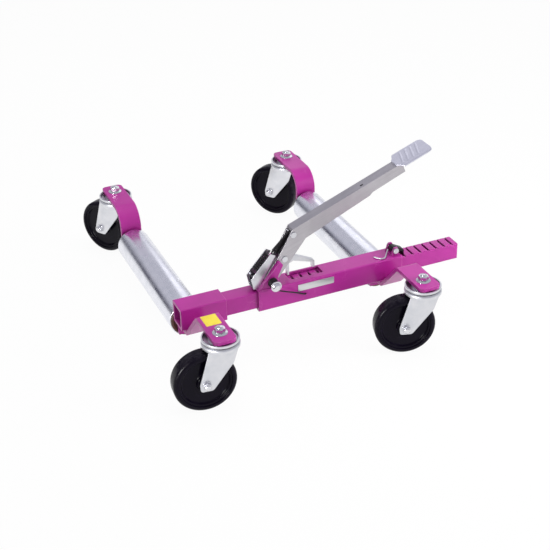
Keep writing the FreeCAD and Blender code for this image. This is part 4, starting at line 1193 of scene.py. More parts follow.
    def build_axle_bolt(self) -> None:
        """Make the axle bolt with its washers, head and nut."""
        forge = Forge()
        face = self.plate_outer + self.washer_gap
        head = face + self.washer_thick
        shank = [(CORE, -head), (self.shank, -head), (self.shank, self.axle_reach - self.shank_tip),
                 (self.shank - self.shank_tip, self.axle_reach), (CORE, self.axle_reach)]
        forge.turn(shank, ALONG_Y, segments=48, joined=False)
        for low, high in ((-head, -face), (face, head)):
            ring = rectangle(self.shank, low, self.washer, high)
            forge.turn(round_corners(ring, self.washer_round, steps=2), ALONG_Y, segments=64)
        forge.hexagon(self.hexagon, -head - self.head_height, -head, ALONG_Y)
        forge.hexagon(self.hexagon, head, face + self.nut_height, ALONG_Y)
        bolt = forge.done(f"hexagon_axle_{self.corner.value}", turn=self.turn)
        bolt.matrix_world = Matrix.Translation(self.centre)
        settle(bolt, f"caster_{self.corner.value}", Slot.ZINC, BOLT_ZINC,
               [f"axle_bolt_{self.corner.value}"])

    def build_race(self) -> None:
        """Turn the cup-shaped race under the bracket."""
        low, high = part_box(f"upper_race_{self.corner.value}")
        radius = (high.x - low.x) / 2
        bottom, top = low.z, high.z
        hole, well, lip = self.pin_hole + self.race_gap, bottom + self.race_wall, top - self.race_lip
        flare_in, flare_up = self.race_flare
        cup = [(hole, bottom), (radius - self.race_foot, bottom), (radius - flare_in, bottom + flare_up),
               (radius, well), (radius, lip), (radius - self.race_wall, lip),
               (radius - self.race_slope, well), (self.race_boss + self.boss_taper, well),
               (self.race_boss, top), (hole, top)]
        forge = Forge()
        forge.turn(round_corners(cup, self.race_round, steps=4))
        race = forge.done(f"race_cup_{self.corner.value}")
        race.matrix_world = self.stand
        body = Half[self.corner.side.upper()].value
        settle(race, body, Slot.ZINC, replaces=[f"upper_race_{self.corner.value}"])


@dataclass
class KingpinPair(Assembly):
    """The two flanged hexagon bolts that hold the casters of one half."""

    half: Half
    bar_top: float = 165 * MM
    flange: float = 15.5 * MM
    flange_thick: float = 3 * MM
    flange_edge: float = 0.9 * MM
    flange_neck: float = 0.5 * MM
    flange_rounds: Radii = (0, 0.3 * MM, 0.6 * MM, 0.6 * MM, 0)
    hexagon: float = 11.2 * MM
    head_height: float = 8.5 * MM
    shank: float = 6 * MM
    shank_tip: float = 1 * MM
    dome: float = 6.5 * MM
    dome_height: float = 2.6 * MM
    dome_sink: float = 0.5 * MM
    dome_shares: tuple[Point2, ...] = ((0.9, 0.5), (0.55, 0.9))
    nut_top: float = 140.3 * MM
    nut_height: float = 8 * MM
    bolt_end: float = 2 * MM

    def build(self) -> None:
        """Make both bolts with their nuts as one piece."""
        forge = Forge()
        for corner in (c for c in Corner if c.side == self.half.side):
            pin = self.model.joint(f"swivel_{corner.value}")
            self.build_bolt(forge, Matrix.Translation((pin.x, pin.y, 0)))
        bolts = forge.done(f"kingpin_bolts_{self.half.side}")
        settle(bolts, self.half.value, Slot.ZINC, BOLT_ZINC, [f"{self.half.side}_kingpins"])

    def build_bolt(self, forge: Forge, place: Matrix) -> None:
        """Make one bolt: flange, shank, head with its low dome, and nut.

        Args:
            forge: The mesh to add it to.
            place: Where the bolt stands.
        """
        base, seat = self.bar_top, self.bar_top + self.flange_thick
        nut = self.nut_top - self.nut_height
        low, crest = nut - self.bolt_end, seat + self.head_height
        flange = [(self.shank, base), (self.flange, base), (self.flange, base + self.flange_edge),
                  (self.hexagon - self.flange_neck, seat), (self.shank, seat)]
        forge.turn(round_corners(flange, self.flange_rounds), place, segments=72)
        rod = [(CORE, low), (self.shank - self.shank_tip, low), (self.shank, low + self.shank_tip),
               (self.shank, seat), (CORE, seat)]
        forge.turn(rod, place, segments=48, joined=False)
        forge.hexagon(self.hexagon, seat, crest, place)
        dome = [(self.dome, crest - self.dome_sink), (self.dome, crest)]
        dome += [(self.dome * across, crest + self.dome_height * up) for across, up in self.dome_shares]
        forge.turn(dome + [(CORE, crest + self.dome_height)], place, segments=48, joined=False)
        forge.hexagon(self.hexagon, nut, self.nut_top, place)


# Rollers and frame


@dataclass
class RollerSet(Assembly):
    """A galvanised roller with its two moulded bushes and the weld round its axle."""

    half: Half
    radius: float = 38 * MM
    wall: float = 4 * MM
    rim: float = 1.2 * MM
    axle: float = 10 * MM
    axle_gap: float = 0.1 * MM
    bush_drop: float = 3 * MM
    bush_gap: float = 0.2 * MM
    bush_round: float = 0.6 * MM
    flange: float = 5 * MM
    spigot: float = 26 * MM
    ring: Point2 = (16 * MM, 30 * MM)
    ring_slope: float = 1 * MM
    ring_depth: float = 1.4 * MM
    bracket: float = 8 * MM
    bead: float = 2.2 * MM
    weld_steps: int = 120

    def build(self) -> None:
        """Build the roller, its bushes and its weld."""
        name = f"{self.half.side}_roller"
        spin = self.model.joint(f"{name}_spin")
        low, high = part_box(name)
        profile = rectangle(self.radius - self.wall, low.y - spin.y, self.radius, high.y - spin.y)
        forge = Forge()
        forge.turn(round_corners(profile, self.rim), ALONG_Y, segments=144)
        roller = forge.done(f"galvanised_{name}")
        roller.matrix_world = Matrix.Translation(spin)
        settle(roller, name, Slot.GALVANISED, replaces=[name])
        for end, direction in (("front", 1), ("rear", -1)):
            self.build_bush(name, end, direction, spin)
        self.build_weld(spin)

    def build_bush(self, name: str, end: str, direction: int, spin: Vector) -> None:
        """Turn a flanged bush with a shallow ring in its face.

        Args:
            name: Name of the roller.
            end: Which end of the roller.
            direction: 1 where the bush points along +Y, -1 along -Y.
            spin: Place of the roller's axis.
        """
        low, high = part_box(f"{name}_{end}_bush")
        face = low.y if direction > 0 else high.y
        outer, length = self.radius - self.bush_drop, self.flange + self.spigot
        inner, seat = self.axle + self.axle_gap, self.radius - self.wall - self.bush_gap
        ring_in, ring_out = self.ring
        profile = [(inner, 0.0), (ring_in, 0.0), (ring_in + self.ring_slope, self.ring_depth),
                   (ring_out - self.ring_slope, self.ring_depth), (ring_out, 0.0), (outer, 0.0),
                   (outer, self.flange), (seat, self.flange), (seat, length), (inner, length)]
        forge = Forge()
        forge.turn(round_corners([(r, direction * h) for r, h in profile], self.bush_round, steps=3), ALONG_Y)
        bush = forge.done(f"moulded_bush_{self.half.side}_{end}")
        bush.matrix_world = Matrix.Translation((spin.x, face, spin.z))
        settle(bush, name, Slot.BUSH, replaces=[f"{name}_{end}_bush"])

    def build_weld(self, spin: Vector) -> None:
        """Lay the weld round the axle's end on the rear bracket.

        Args:
            spin: Place of the roller's axis.
        """
        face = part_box(f"{self.half.side}_rear_bracket")[0].y + self.bracket
        angles = [math.tau * i / self.weld_steps for i in range(self.weld_steps + 1)]
        ring = [Vector((spin.x + self.axle * math.cos(a), face, spin.z + self.axle * math.sin(a)))
                for a in angles]
        settle(weld_bead(f"weld_axle_{self.half.side}", [ring], self.bead), self.half.value, Slot.PURPLE)


@dataclass
class FrameWelds(Assembly):
    """Weld beads where brackets, ears and sleeve meet the beam."""

    foot_bead: float = 2.4 * MM
    foot_inset: float = 1.5 * MM
    side_inset: float = 3 * MM
    front_inset: float = 1 * MM
    end_inset: float = 2 * MM
    ear_bead: float = 1.9 * MM
    ear_end: float = 40 * MM
    sleeve_bead: float = 1.6 * MM
    sleeve_round: float = 2 * MM

    def build(self) -> None:
        """Lay the beads of both halves."""
        for half in Half:
            self.build_foot_weld(half)
        self.build_ear_welds()
        self.build_sleeve_weld()

    def build_foot_weld(self, half: Half) -> None:
        """Lay the beads along the foot of a front bracket.

        Args:
            half: Half of the frame that the bracket belongs to.
        """
        low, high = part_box("left_sleeve" if half is Half.LEFT else "outer_tube")
        foot_low, foot_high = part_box(f"{half.side}_front_bracket")
        front, near, far = low.y + self.front_inset, low.y + self.side_inset, high.y - self.side_inset
        paths = [line(Vector((x, near, low.z)), Vector((x, far, low.z)))
                 for x in (foot_low.x + self.foot_inset, foot_high.x - self.foot_inset)]
        paths.append(line(Vector((foot_low.x + self.end_inset, front, low.z)),
                          Vector((foot_high.x - self.end_inset, front, low.z))))
        settle(weld_bead(f"weld_foot_{half.side}", paths, self.foot_bead), half.value, Slot.PURPLE)

    def build_ear_welds(self) -> None:
        """Lay the beads along the feet of the two ears."""
        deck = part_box("outer_tube")[1].z
        paths = []
        for ear, outer in (("front_ear", 0), ("rear_ear", 1)):
            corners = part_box(ear)
            left, y = corners[0].x, corners[outer].y
            start = Vector((left + self.end_inset, y, deck))
            paths.append(line(start, Vector((left + self.ear_end, y, deck))))
        settle(weld_bead("weld_ears", paths, self.ear_bead), Half.RIGHT.value, Slot.PURPLE)

    def build_sleeve_weld(self) -> None:
        """Lay the bead round the inner tube at the sleeve's mouth."""
        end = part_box("left_sleeve")[1].x
        low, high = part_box("inner_rack_tube")
        square = round_corners(rectangle(low.y, low.z, high.y, high.z), self.sleeve_round)
        loop = [Vector((end, y, z)) for y, z in square]
        path = [point for i, here in enumerate(loop) for point in line(here, loop[(i + 1) % len(loop)])]
        settle(weld_bead("weld_sleeve", [path], self.sleeve_bead), Half.LEFT.value, Slot.PURPLE)


@dataclass
class RackTube(Assembly):
    """The inner square tube with narrow slots across its top wall, and the plug in its end."""

    wall: float = 4 * MM
    corner: float = 2.5 * MM
    inner_corner: float = 1 * MM
    slot_first: float = 202 * MM
    slot_pitch: float = 20 * MM
    slot_count: int = 23
    slot_back: float = 2.1 * MM
    slot_ahead: float = 3.1 * MM
    slot_gap: float = 0.4 * MM
    notch: float = 1.5 * MM
    spare: float = 2 * MM
    plug_inset: float = 2 * MM
    plug_thick: float = 3 * MM

    def build(self) -> None:
        """Form the tube, cut its slots and close its end."""
        low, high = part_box("inner_rack_tube")
        outer, inner = (round_corners(rectangle(low.y + inset, low.z + inset, high.y - inset, high.z - inset),
                                      radius)
                        for inset, radius in ((0.0, self.corner), (self.wall, self.inner_corner)))
        rings = [(low.x, outer), (high.x, outer), (high.x, inner), (low.x, inner)]
        forge = Forge()
        forge.stack([[Vector((x, y, z)) for y, z in loop] for x, loop in rings], joined=True)
        tube = forge.done("slotted_rack_tube")
        carve(tube, self.cutter(low, high))
        settle(tube, Half.LEFT.value, Slot.PURPLE, replaces=["inner_rack_tube"])
        face = high.x - self.plug_inset
        plug = Forge()
        plug.stack([[Vector((x, y, z)) for y, z in inner] for x in (face - self.plug_thick, face)])
        settle(plug.done("rack_end_plug"), Half.LEFT.value, Slot.PURPLE)

    def cutter(self, low: Vector, high: Vector) -> bpy.types.Object:
        """Make the shape of all slots: through the top wall, and a shallow notch over the side walls.

        Args:
            low: Lowest corner of the tube.
            high: Highest corner of the tube.

        Returns:
            The shape to cut away.
        """
        middle, wide = (low.y + high.y) / 2, (high.y - low.y) / 2 + self.spare
        narrow = wide - self.spare - self.wall - self.slot_gap
        floor, shelf, roof = high.z - self.wall - self.spare, high.z - self.notch, high.z + self.spare
        section = [(-narrow, floor), (narrow, floor), (narrow, shelf), (wide, shelf), (wide, roof),
                   (-wide, roof), (-wide, shelf), (-narrow, shelf)]
        forge = Forge()
        for i in range(self.slot_count):
            centre = self.model.origin.x + self.slot_first + i * self.slot_pitch
            forge.stack([[Vector((x, middle + y, z)) for y, z in section]
                         for x in (centre - self.slot_back, centre + self.slot_ahead)])
        return forge.done("rack_slots")


@dataclass
class HoldingPawl(Assembly):
    """The black pawl that drops into the rack's slots."""

    hub: float = 5.8 * MM
    hub_share: float = 0.9
    shoulder: float = 4.5 * MM
    tip_back: float = 21.2 * MM
    tip_front: float = 23.7 * MM
    tip_low: float = 16.6 * MM
    tip_round: float = 0.4 * MM
    throat: float = 8.5 * MM
    throat_lead: float = 1.6 * MM
    throat_round: float = 3 * MM
    back_round: float = 5 * MM
    nose_round: float = 4 * MM
    half_width: float = 8.5 * MM
    bore: float = 4.1 * MM
    bevel: float = 0.6 * MM

    def build(self) -> None:
        """Cut the pawl from plate and bore it."""
        hub = self.hub
        outline = [(-hub, -hub), (-hub, hub), (hub / 2, hub), (self.tip_front, -self.shoulder),
                   (self.tip_front, -self.tip_low), (self.tip_back, -self.tip_low),
                   (self.tip_back - self.throat_lead, -self.throat), (hub, -hub)]
        rounds = [hub * self.hub_share, hub * self.hub_share, self.back_round, self.nose_round,
                  self.tip_round, self.tip_round, self.throat_round, self.throat_round]
        forge = Forge()
        forge.plate(round_corners(outline, rounds), -self.half_width, self.half_width, self.bevel)
        pawl = forge.done("black_holding_pawl")
        through = 2 * self.half_width
        drill = Forge()
        drill.turn([(self.bore, -through), (self.bore, through)], ALONG_Y, segments=40, joined=False)
        carve(pawl, drill.done("pawl_drill"))
        pawl.matrix_world = Matrix.Translation(self.model.joint("holding_pawl_hinge"))
        settle(pawl, "holding_pawl", Slot.BLACK, replaces=["holding_pawl"])


@dataclass
class PivotBolt(Assembly):
    """The pedal's pivot bolt with its domed head, washer and nut."""

    shank: float = 6 * MM
    shank_tip: float = 1 * MM
    washer: float = 11.8 * MM
    washer_thick: float = 2.5 * MM
    head: float = 9 * MM
    head_height: float = 8 * MM
    dome_share: float = 0.55
    dome_height: float = 3 * MM
    rounds: Radii = (0, 2.5 * MM, 2.5 * MM, 0.3 * MM, 0.6 * MM, 0.4 * MM, 0.2 * MM, 0, 0, 0)
    nut: float = 10.4 * MM
    nut_height: float = 8 * MM
    bolt_end: float = 2 * MM

    def build(self) -> None:
        """Turn the bolt and fit its nut."""
        pivot = self.model.joint("pedal_hinge")
        low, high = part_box("pivot_bolt")
        front, rear = low.y - pivot.y, high.y - pivot.y
        seat = front + self.head_height
        rim = seat - self.washer_thick
        body = [(CORE, front), (self.head * self.dome_share, front), (self.head, front + self.dome_height),
                (self.head, rim), (self.washer, rim), (self.washer, seat), (self.shank, seat),
                (self.shank, rear - self.shank_tip), (self.shank - self.shank_tip, rear), (CORE, rear)]
        forge = Forge()
        forge.turn(round_corners(body, self.rounds, closed=False), ALONG_Y, segments=72, joined=False)
        nut = rear - self.bolt_end - self.nut_height
        forge.hexagon(self.nut, nut, nut + self.nut_height, ALONG_Y)
        bolt = forge.done("domed_pivot_bolt")
        bolt.matrix_world = Matrix.Translation(pivot)
        settle(bolt, Half.RIGHT.value, Slot.ZINC, BOLT_ZINC, replaces=["pivot_bolt"])


@dataclass
class BlankLabels(Assembly):
    """The plain silver plate on the tube's front and the plain yellow film on a bracket."""

    plate_left: float = 262 * MM
    plate_right: float = 346 * MM
    plate_low: float = 2 * MM
    plate_high: float = 17.5 * MM
    plate_thick: float = 0.8 * MM
    plate_sink: float = 0.2 * MM
    plate_corner: float = 2 * MM
    plate_bevel: float = 0.25 * MM
    film_width: float = 32 * MM
    film_front: float = 138 * MM
    film_back: float = 99 * MM
    film_proud: float = 0.1 * MM
    film_sink: float = 0.25 * MM
    film_corner: float = 1.5 * MM
    film_bevel: float = 0.08 * MM

    def build(self) -> None:
        """Make both blank labels."""
        self.build_plate()
        self.build_film()

    def build_plate(self) -> None:
        """Cut the silver plate and set it on the tube's front wall."""
        low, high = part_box("outer_tube")
        left, axis = self.model.origin.x, (low.z + high.z) / 2
        outline = rectangle(left + self.plate_left, axis + self.plate_low,
                            left + self.plate_right, axis + self.plate_high)
        forge = Forge()
        forge.plate(round_corners(outline, self.plate_corner), low.y - self.plate_thick,
                    low.y + self.plate_sink, self.plate_bevel)
        settle(forge.done("blank_nameplate"), Half.RIGHT.value, None, PLATE_STEEL)

    def build_film(self) -> None:
        """Cut the yellow film and lay it on the left front bracket."""
        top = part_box("left_front_bracket")[1].z
        middle, half = self.model.joint("swivel_fl").x, self.film_width / 2
        outline = rectangle(middle - half, -self.film_back, middle + half, -self.film_front)
        forge = Forge()
        forge.plate(round_corners(outline, self.film_corner), -self.film_proud, self.film_sink,
                    self.film_bevel, Matrix.Translation((0, self.model.origin.y, top)) @ ALONG_Y)
        settle(forge.done("blank_yellow_film"), Half.LEFT.value, None, YELLOW_FILM)


# Pedal


@dataclass
class FootPad(Assembly):
    """The spoon-shaped pad at the end of the pedal's arm, and a dark plate of painted shade for a slot in the
    arm's web.
    """

    arm_x: float = 309 * MM
    arm_z: float = 202 * MM
    neck: float = 14 * MM
    neck_half: float = 12.5 * MM
    flare: float = 13 * MM
    length: float = 69 * MM
    tip: float = 0.02 * MM
    half_width: float = 29.5 * MM
    corner: float = 11 * MM
    thick: float = 3.6 * MM
    rib_first: float = 6 * MM
    rib_pitch: float = 13 * MM
    rib_count: int = 4
    rib_half: float = 3.6 * MM
    rib_height: float = 0.9 * MM
    rib_slant: float = 0.35
    rib_share: float = 0.78
    rib_fade: float = 0.2
    rim: float = 1.4 * MM
    rim_start: float = 0.88
    base: float = 0.15 * MM
    along: int = 170
    across: int = 70
    mark_back: float = 98 * MM
    mark_length: float = 7 * MM
    mark_width: float = 4 * MM
    mark_side: float = -4 * MM
    mark_low: float = 0.02 * MM
    mark_high: float = 0.25 * MM
    mark_corner: float = 1 * MM
    mark_bevel: float = 0.05 * MM

    def __post_init__(self) -> None:
        """Read the place of the arm's end from the frame."""
        self.lean = Matrix.Rotation(-ARM_TILT, 4, "Y")
        end = self.model.joint("pedal_hinge") + Vector((self.arm_x, 0, self.arm_z))
        self.stand = Matrix.Translation(end)

    def half_at(self, x: float) -> float:
        """Work out the pad's half width.

        Args:
            x: Distance along the arm.

        Returns:
            Half the width there, with the flared neck and the rounded end.
        """
        half = self.neck_half + (self.half_width - self.neck_half) * ease((x + self.neck) / self.flare)
        past = x - (self.length - self.corner)
        if past > 0:
            half -= self.corner - math.sqrt(max(0.0, self.corner**2 - past**2))
        return half

    def height_at(self, x: float, share: float) -> float:
        """Work out the height of the pressed top.

        Args:
            x: Distance along the arm.
            share: Place across the pad from -1 to 1.

        Returns:
            Height above the arm, with ribs and turned-down rim.
        """
        rise = 0.0
        slanted = x - self.rib_slant * self.half_width * share
        for i in range(self.rib_count):
            off = abs(slanted - self.rib_first - i * self.rib_pitch) / self.rib_half
            rise = max(rise, math.cos(min(1.0, off) * math.pi / 2) ** 2)
        window = ease((self.rib_share - abs(share)) / self.rib_fade)
        lip = max(0.0, abs(share) - self.rim_start) / (1 - self.rim_start)
        return self.thick + self.rib_height * rise * window - self.rim * lip * lip

    def build(self) -> None:
        """Press the pad and lay the painted slot shade on the arm's web."""
        self.build_pad()
        self.build_mark()

    def build_pad(self) -> None:
        """Press the pad as a closed sheet."""
        rows = []
        shares = [2 * j / self.across - 1 for j in range(self.across + 1)]
        for i in range(self.along + 1):
            x = -self.neck + (self.length + self.neck - self.tip) * i / self.along
            half = self.half_at(x)
            top = [Vector((x, share * half, self.height_at(x, share))) for share in shares]
            under = [Vector((x, share * half, self.base)) for share in reversed(shares)]
            rows.append(top + under)
        forge = Forge()
        forge.stack(rows)
        pad = forge.done("ribbed_foot_pad", CRISP_PAD, self.lean)
        pad.matrix_world = self.stand
        settle(pad, "pedal", Slot.ZINC, PAD_STEEL, replaces=["foot_pad"])

    def build_mark(self) -> None:
        """Lay a thin dark plate on the arm's web as painted shade in place of the small slot there."""
        half, side = self.mark_length / 2, self.mark_width / 2
        outline = rectangle(-half - self.mark_back, self.mark_side - side,
                            half - self.mark_back, self.mark_side + side)
        forge = Forge()
        forge.plate(round_corners(outline, self.mark_corner), self.mark_low, self.mark_high,
                    self.mark_bevel, LAID_FLAT)
        mark = forge.done("arm_web_slot", turn=self.lean)
        mark.matrix_world = self.stand
        settle(mark, "pedal", Slot.BLACK)


# Springs


@dataclass
class ReturnSpring(Assembly):
    """The black extension spring between the anchor pin and the drawbar."""

    wire: float = 1.9 * MM
    mean: float = 9.3 * MM
    pitch: float = 4.8 * MM
    turns: int = 9
    loop: float = 5.4 * MM
    lower_start: int = -260
    upper_end: int = 240
    loop_step: int = 5
    lead_steps: int = 24
    first_turn: float = 13 * MM
    drawbar: float = 50 * MM

    def build(self) -> None:
        """Wind the spring with a loop at each end."""
        anchor, elbow = self.model.joint("return_spring_hinge"), self.model.joint("drawbar_hinge")
        reach = elbow - anchor
        middle = reach.length - self.drawbar - self.loop
        lower_angles = map(math.radians, range(self.lower_start, 1, self.loop_step))
        lower = [Vector((self.loop * math.cos(a), 0, self.loop * math.sin(a))) for a in lower_angles]
        coil = helix(self.mean, self.pitch, self.turns, self.first_turn)
        upper_angles = map(math.radians, range(0, self.upper_end + 1, self.loop_step))
        upper = [Vector((0, self.loop * math.cos(a), middle + self.loop * math.sin(a))) for a in upper_angles]
        heading, up = Vector((0, self.mean, self.pitch / math.tau)), Vector((0, 0, 1))
        path = lower[:-1] + hermite(lower[-1], up, coil[0], heading, self.lead_steps)
        path += coil[:-1] + hermite(coil[-1], heading, upper[0], up, self.lead_steps) + upper
        forge = Forge()
        forge.sweep(path, self.wire)
        lean = Matrix.Rotation(math.atan2(reach.x, reach.z), 4, "Y")
        spring = forge.done("wound_return_spring", CRISP_WIRE, lean)
        spring.matrix_world = Matrix.Translation(anchor)
        settle(spring, "return_spring", Slot.BLACK, replaces=["return_spring"])


@dataclass
class TorsionSpring(Assembly):
    """The black coil on the pivot bolt whose leg hooks into the tube's front wall."""

    wire: float = 1.5 * MM
    mean: float = 9.3 * MM
    pitch: float = 4 * MM
    turns: int = 4
    start: float = 26 * MM
    clear: float = 3.5 * MM
    sink: float = 4 * MM
    wall: float = 25 * MM
    hook: Point2 = (76 * MM, -49 * MM)
    leg_steps: int = 40
    bend_steps: int = 12

    def build(self) -> None:
        """Wind the coil and lead its leg into the wall."""
        across, rise = self.hook
        turn = math.atan2(rise, across) - math.acos(self.mean / math.hypot(across, rise))
        coil = helix(self.mean, self.pitch, self.turns, self.start, turn)
        leg = Vector((across - coil[-1].x, rise - coil[-1].y, 0)).normalized()
        hook = Vector((across, rise, 0))
        bend = hook + Vector((0, 0, self.wall + self.clear)) - leg * self.clear
        inside = hook + Vector((0, 0, self.wall - self.sink))
        heading = Vector((-math.sin(turn), math.cos(turn), self.pitch / math.tau / self.mean))
        path = coil[:-1] + hermite(coil[-1], heading, bend, leg, self.leg_steps)
        path += hermite(bend, leg, inside, Vector((0, 0, -1)), self.bend_steps) + [inside]
        forge = Forge()
        forge.sweep(path, self.wire)
        spring = forge.done("wound_torsion_spring", CRISP_WIRE, ALONG_Y.inverted())
        spring.matrix_world = Matrix.Translation(self.model.joint("pedal_hinge"))
        settle(spring, Half.RIGHT.value, Slot.BLACK, replaces=["torsion_spring"])


@dataclass
class PawlSpring(Assembly):
    """The bent zinc wire that presses the holding pawl down."""

    wire: float = 1.7 * MM
    # Place in millimetres and direction of the wire where it bends
    stations: tuple[tuple[Point3, Point3], ...] = (
        ((-48, -4, 0), (0.6, -0.8, 0)),
        ((-34, -19, 0.4), (1, -0.1, 0)),
        ((-20, -8, 2), (0.55, 0.8, 0.25)),
        ((-12, 0, 8), (0.5, 0.5, 0.7)),
    )
    steps: int = 20

    def build(self) -> None:
        """Bend the wire through its stations."""
        marks = [(Vector(place) * MM, Vector(heading)) for place, heading in self.stations]
        path = []
        for (start, leave), (end, arrive) in zip(marks, marks[1:]):
            path += hermite(start, leave, end, arrive, self.steps)
        path.append(marks[-1][0])
        forge = Forge()
        forge.sweep(path, self.wire)
        spring = forge.done("bent_pawl_spring", CRISP_WIRE)
        hinge = self.model.joint("holding_pawl_hinge")
        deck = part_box("outer_tube")[1].z
        spring.matrix_world = Matrix.Translation((hinge.x, hinge.y, deck + self.wire))
        settle(spring, Half.RIGHT.value, Slot.ZINC, replaces=["pawl_spring"])


# Studio


@dataclass(frozen=True)
class Lamp:
    """A square soft light, or a window that shows only in reflections."""

    name: str
    place: Point3
    size: float
    power: float
    window: bool = False


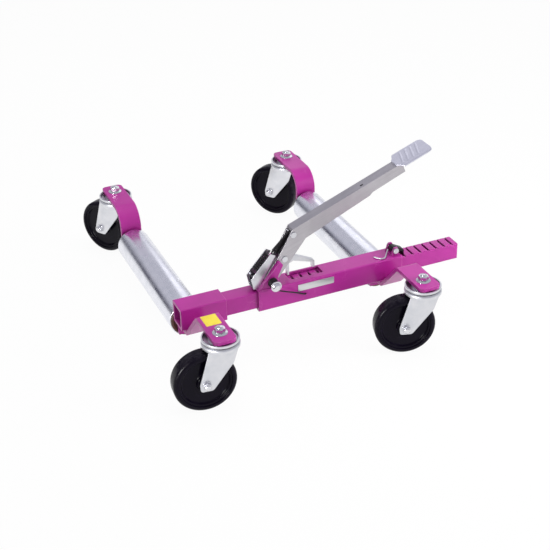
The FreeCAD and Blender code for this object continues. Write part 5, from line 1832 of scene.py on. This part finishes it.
@dataclass
class Studio(Assembly):
    """White floor and surroundings, soft light, and the camera of the photograph."""

    focal_pixels: float = 1176.9
    centre_x: float = 289.4
    centre_y: float = 258.05
    camera_place: Point3 = (-612.3 * MM, -1969.9 * MM, 1401.6 * MM)
    yaw: float = 0.41446
    pitch: float = 0.51304
    roll: float = -0.02128
    sensor: float = 36.0
    farthest: float = 50.0
    floor_size: float = 16.0
    floor_drop: float = 0.2 * MM
    floor_colour: Colour = (0.90, 0.90, 0.90, 1)
    floor_glow: float = 0.95
    shade: float = 0.42
    horizon: Colour = (0.62, 0.62, 0.68, 1)
    ceiling: Colour = (0.54, 0.54, 0.60, 1)
    ceiling_rise: Point2 = (0.25, 0.55)
    wall: Colour = (0.03, 0.03, 0.06, 1)
    wall_foot: Point2 = (-0.02, 0.03)
    wall_top: Point2 = (0.38, 0.16)
    wall_side: Point2 = (-0.10, -0.40)
    lamp_aim: Point3 = (0, 0, 0.12)
    lamps: tuple[Lamp, ...] = (
        Lamp("overhead", (0.2, 0.2, 2.6), size=2.6, power=38.0),
        Lamp("front", (1.9, -2.3, 1.4), size=1.8, power=35.0),
        Lamp("beside", (0.95, -0.8, 0.55), size=0.5, power=4.0),
        Lamp("back_window", (1.45, 1.9, 1.6), size=1.7, power=6.0, window=True),
        Lamp("window", (-2.06, -1.2, 0.65), size=0.65, power=50.0, window=True),
    )

    def build(self) -> None:
        """Set up the whole studio."""
        self.build_world()
        self.build_floor()
        for lamp in self.lamps:
            self.build_light(lamp)
        self.build_camera()
        bpy.context.scene.view_settings.view_transform = "Standard"
        LOG.info("studio ready")

    @staticmethod
    def seen_directly(sheet: Sheet) -> bpy.types.NodeSocket:
        """Find the rays that show the background itself.

        Args:
            sheet: Sheet of the world or the floor.

        Returns:
            1 for camera, glossy and transmission rays, and 0 for others.
        """
        path = sheet.node("ShaderNodeLightPath")
        seen = sheet.math("MAXIMUM", path.outputs["Is Camera Ray"], path.outputs["Is Glossy Ray"])
        return sheet.math("MAXIMUM", seen, path.outputs["Is Transmission Ray"])

    def build_world(self) -> None:
        """Make surroundings that look white, light the object softly and mirror a grey room."""
        world = bpy.data.worlds.new("studio_white")
        bpy.context.scene.world = world
        world.use_nodes = True
        world.node_tree.nodes.clear()
        sheet = Sheet(world.node_tree)
        soft = sheet.node("ShaderNodeBackground", {"Color": WHITE, "Strength": self.shade})
        view = sheet.node("ShaderNodeTexCoord").outputs["Generated"]
        way = sheet.node("ShaderNodeSeparateXYZ", {0: view})
        height, across = way.outputs["Z"], way.outputs["X"]
        room = sheet.blend(sheet.span(height, *self.ceiling_rise), self.horizon, self.ceiling)
        rise = sheet.times(sheet.span(height, *self.wall_foot), sheet.span(height, *self.wall_top))
        room = sheet.blend(sheet.times(rise, sheet.span(across, *self.wall_side)), room, self.wall)
        mirrored = sheet.node("ShaderNodeLightPath").outputs["Is Glossy Ray"]
        around = sheet.blend(mirrored, WHITE, room)
        white = sheet.node("ShaderNodeBackground", {"Color": around, "Strength": 1.0})
        mixed = sheet.node("ShaderNodeMixShader", {0: self.seen_directly(sheet), 1: soft.outputs[0],
                                                   2: white.outputs[0]})
        sheet.node("ShaderNodeOutputWorld", {"Surface": mixed.outputs[0]})

    def build_floor(self) -> None:
        """Lay a pale floor that keeps a faint shadow."""
        half = self.floor_size / 2
        data = bpy.data.meshes.new("studio_floor")
        data.from_pydata([(x, y, 0) for x, y in rectangle(-half, -half, half, half)], [], [(0, 1, 2, 3)])
        floor = bpy.data.objects.new("studio_floor", data)
        bpy.context.scene.collection.objects.link(floor)
        floor.location.z = -self.floor_drop
        made = bpy.data.materials.new("pale_floor")
        made.use_nodes = True
        made.node_tree.nodes.clear()
        sheet = Sheet(made.node_tree)
        paint = sheet.node("ShaderNodeBsdfDiffuse", {"Color": self.floor_colour})
        glow = sheet.node("ShaderNodeEmission", {"Color": WHITE, "Strength": 1.0})
        share = sheet.times(self.seen_directly(sheet), self.floor_glow)
        mixed = sheet.node("ShaderNodeMixShader", {0: share, 1: paint.outputs[0], 2: glow.outputs[0]})
        sheet.node("ShaderNodeOutputMaterial", {"Surface": mixed.outputs[0]})
        data.materials.append(made)

    def build_light(self, lamp: Lamp) -> None:
        """Hang one lamp or window and aim it at the object.

        Args:
            lamp: The lamp.
        """
        made = bpy.data.lights.new(lamp.name, "AREA")
        made.shape = "SQUARE"
        made.size = lamp.size
        made.energy = lamp.power
        light = bpy.data.objects.new(lamp.name, made)
        light.location = lamp.place
        light.visible_glossy = lamp.window
        light.visible_diffuse = not lamp.window
        light.visible_camera = False
        aim = Vector(self.lamp_aim) - Vector(lamp.place)
        light.rotation_euler = aim.to_track_quat("-Z", "Y").to_euler()
        bpy.context.scene.collection.objects.link(light)

    def build_camera(self) -> None:
        """Stand the camera where the photograph's was."""
        ahead = Vector((math.sin(self.yaw) * math.cos(self.pitch), math.cos(self.yaw) * math.cos(self.pitch),
                        -math.sin(self.pitch)))
        level = Vector((math.cos(self.yaw), -math.sin(self.yaw), 0))
        above = level.cross(ahead)
        right = level * math.cos(self.roll) + above * math.sin(self.roll)
        up = above * math.cos(self.roll) - level * math.sin(self.roll)
        lens = bpy.data.cameras.new("photo_camera")
        lens.sensor_width = self.sensor
        lens.lens = self.focal_pixels * self.sensor / IMAGE_SIZE
        lens.shift_x = (IMAGE_SIZE / 2 - self.centre_x) / IMAGE_SIZE
        lens.shift_y = (self.centre_y - IMAGE_SIZE / 2) / IMAGE_SIZE
        lens.clip_end = self.farthest
        camera = bpy.data.objects.new("photo_camera", lens)
        bpy.context.scene.collection.objects.link(camera)
        stand = self.model.origin + Vector(self.camera_place)
        camera.matrix_world = Matrix.Translation(stand) @ Matrix((right, up, -ahead)).transposed().to_4x4()
        bpy.context.scene.camera = camera


def main() -> None:
    """Build the looks of the wheel dolly in order."""
    logging.basicConfig(level=logging.INFO, format="%(name)s: %(message)s")
    model = Model(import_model())
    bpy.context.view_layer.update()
    model.dress_nodes()
    parts: list[Assembly] = [Caster(model, corner) for corner in Corner]
    parts += [KingpinPair(model, half) for half in Half]
    parts += [RollerSet(model, half) for half in Half]
    parts += [RackTube(model), FrameWelds(model), BlankLabels(model), HoldingPawl(model), PivotBolt(model),
              FootPad(model), ReturnSpring(model), TorsionSpring(model), PawlSpring(model), Studio(model)]
    for part in parts:
        part.build()


if __name__ == "__main__":
    main()
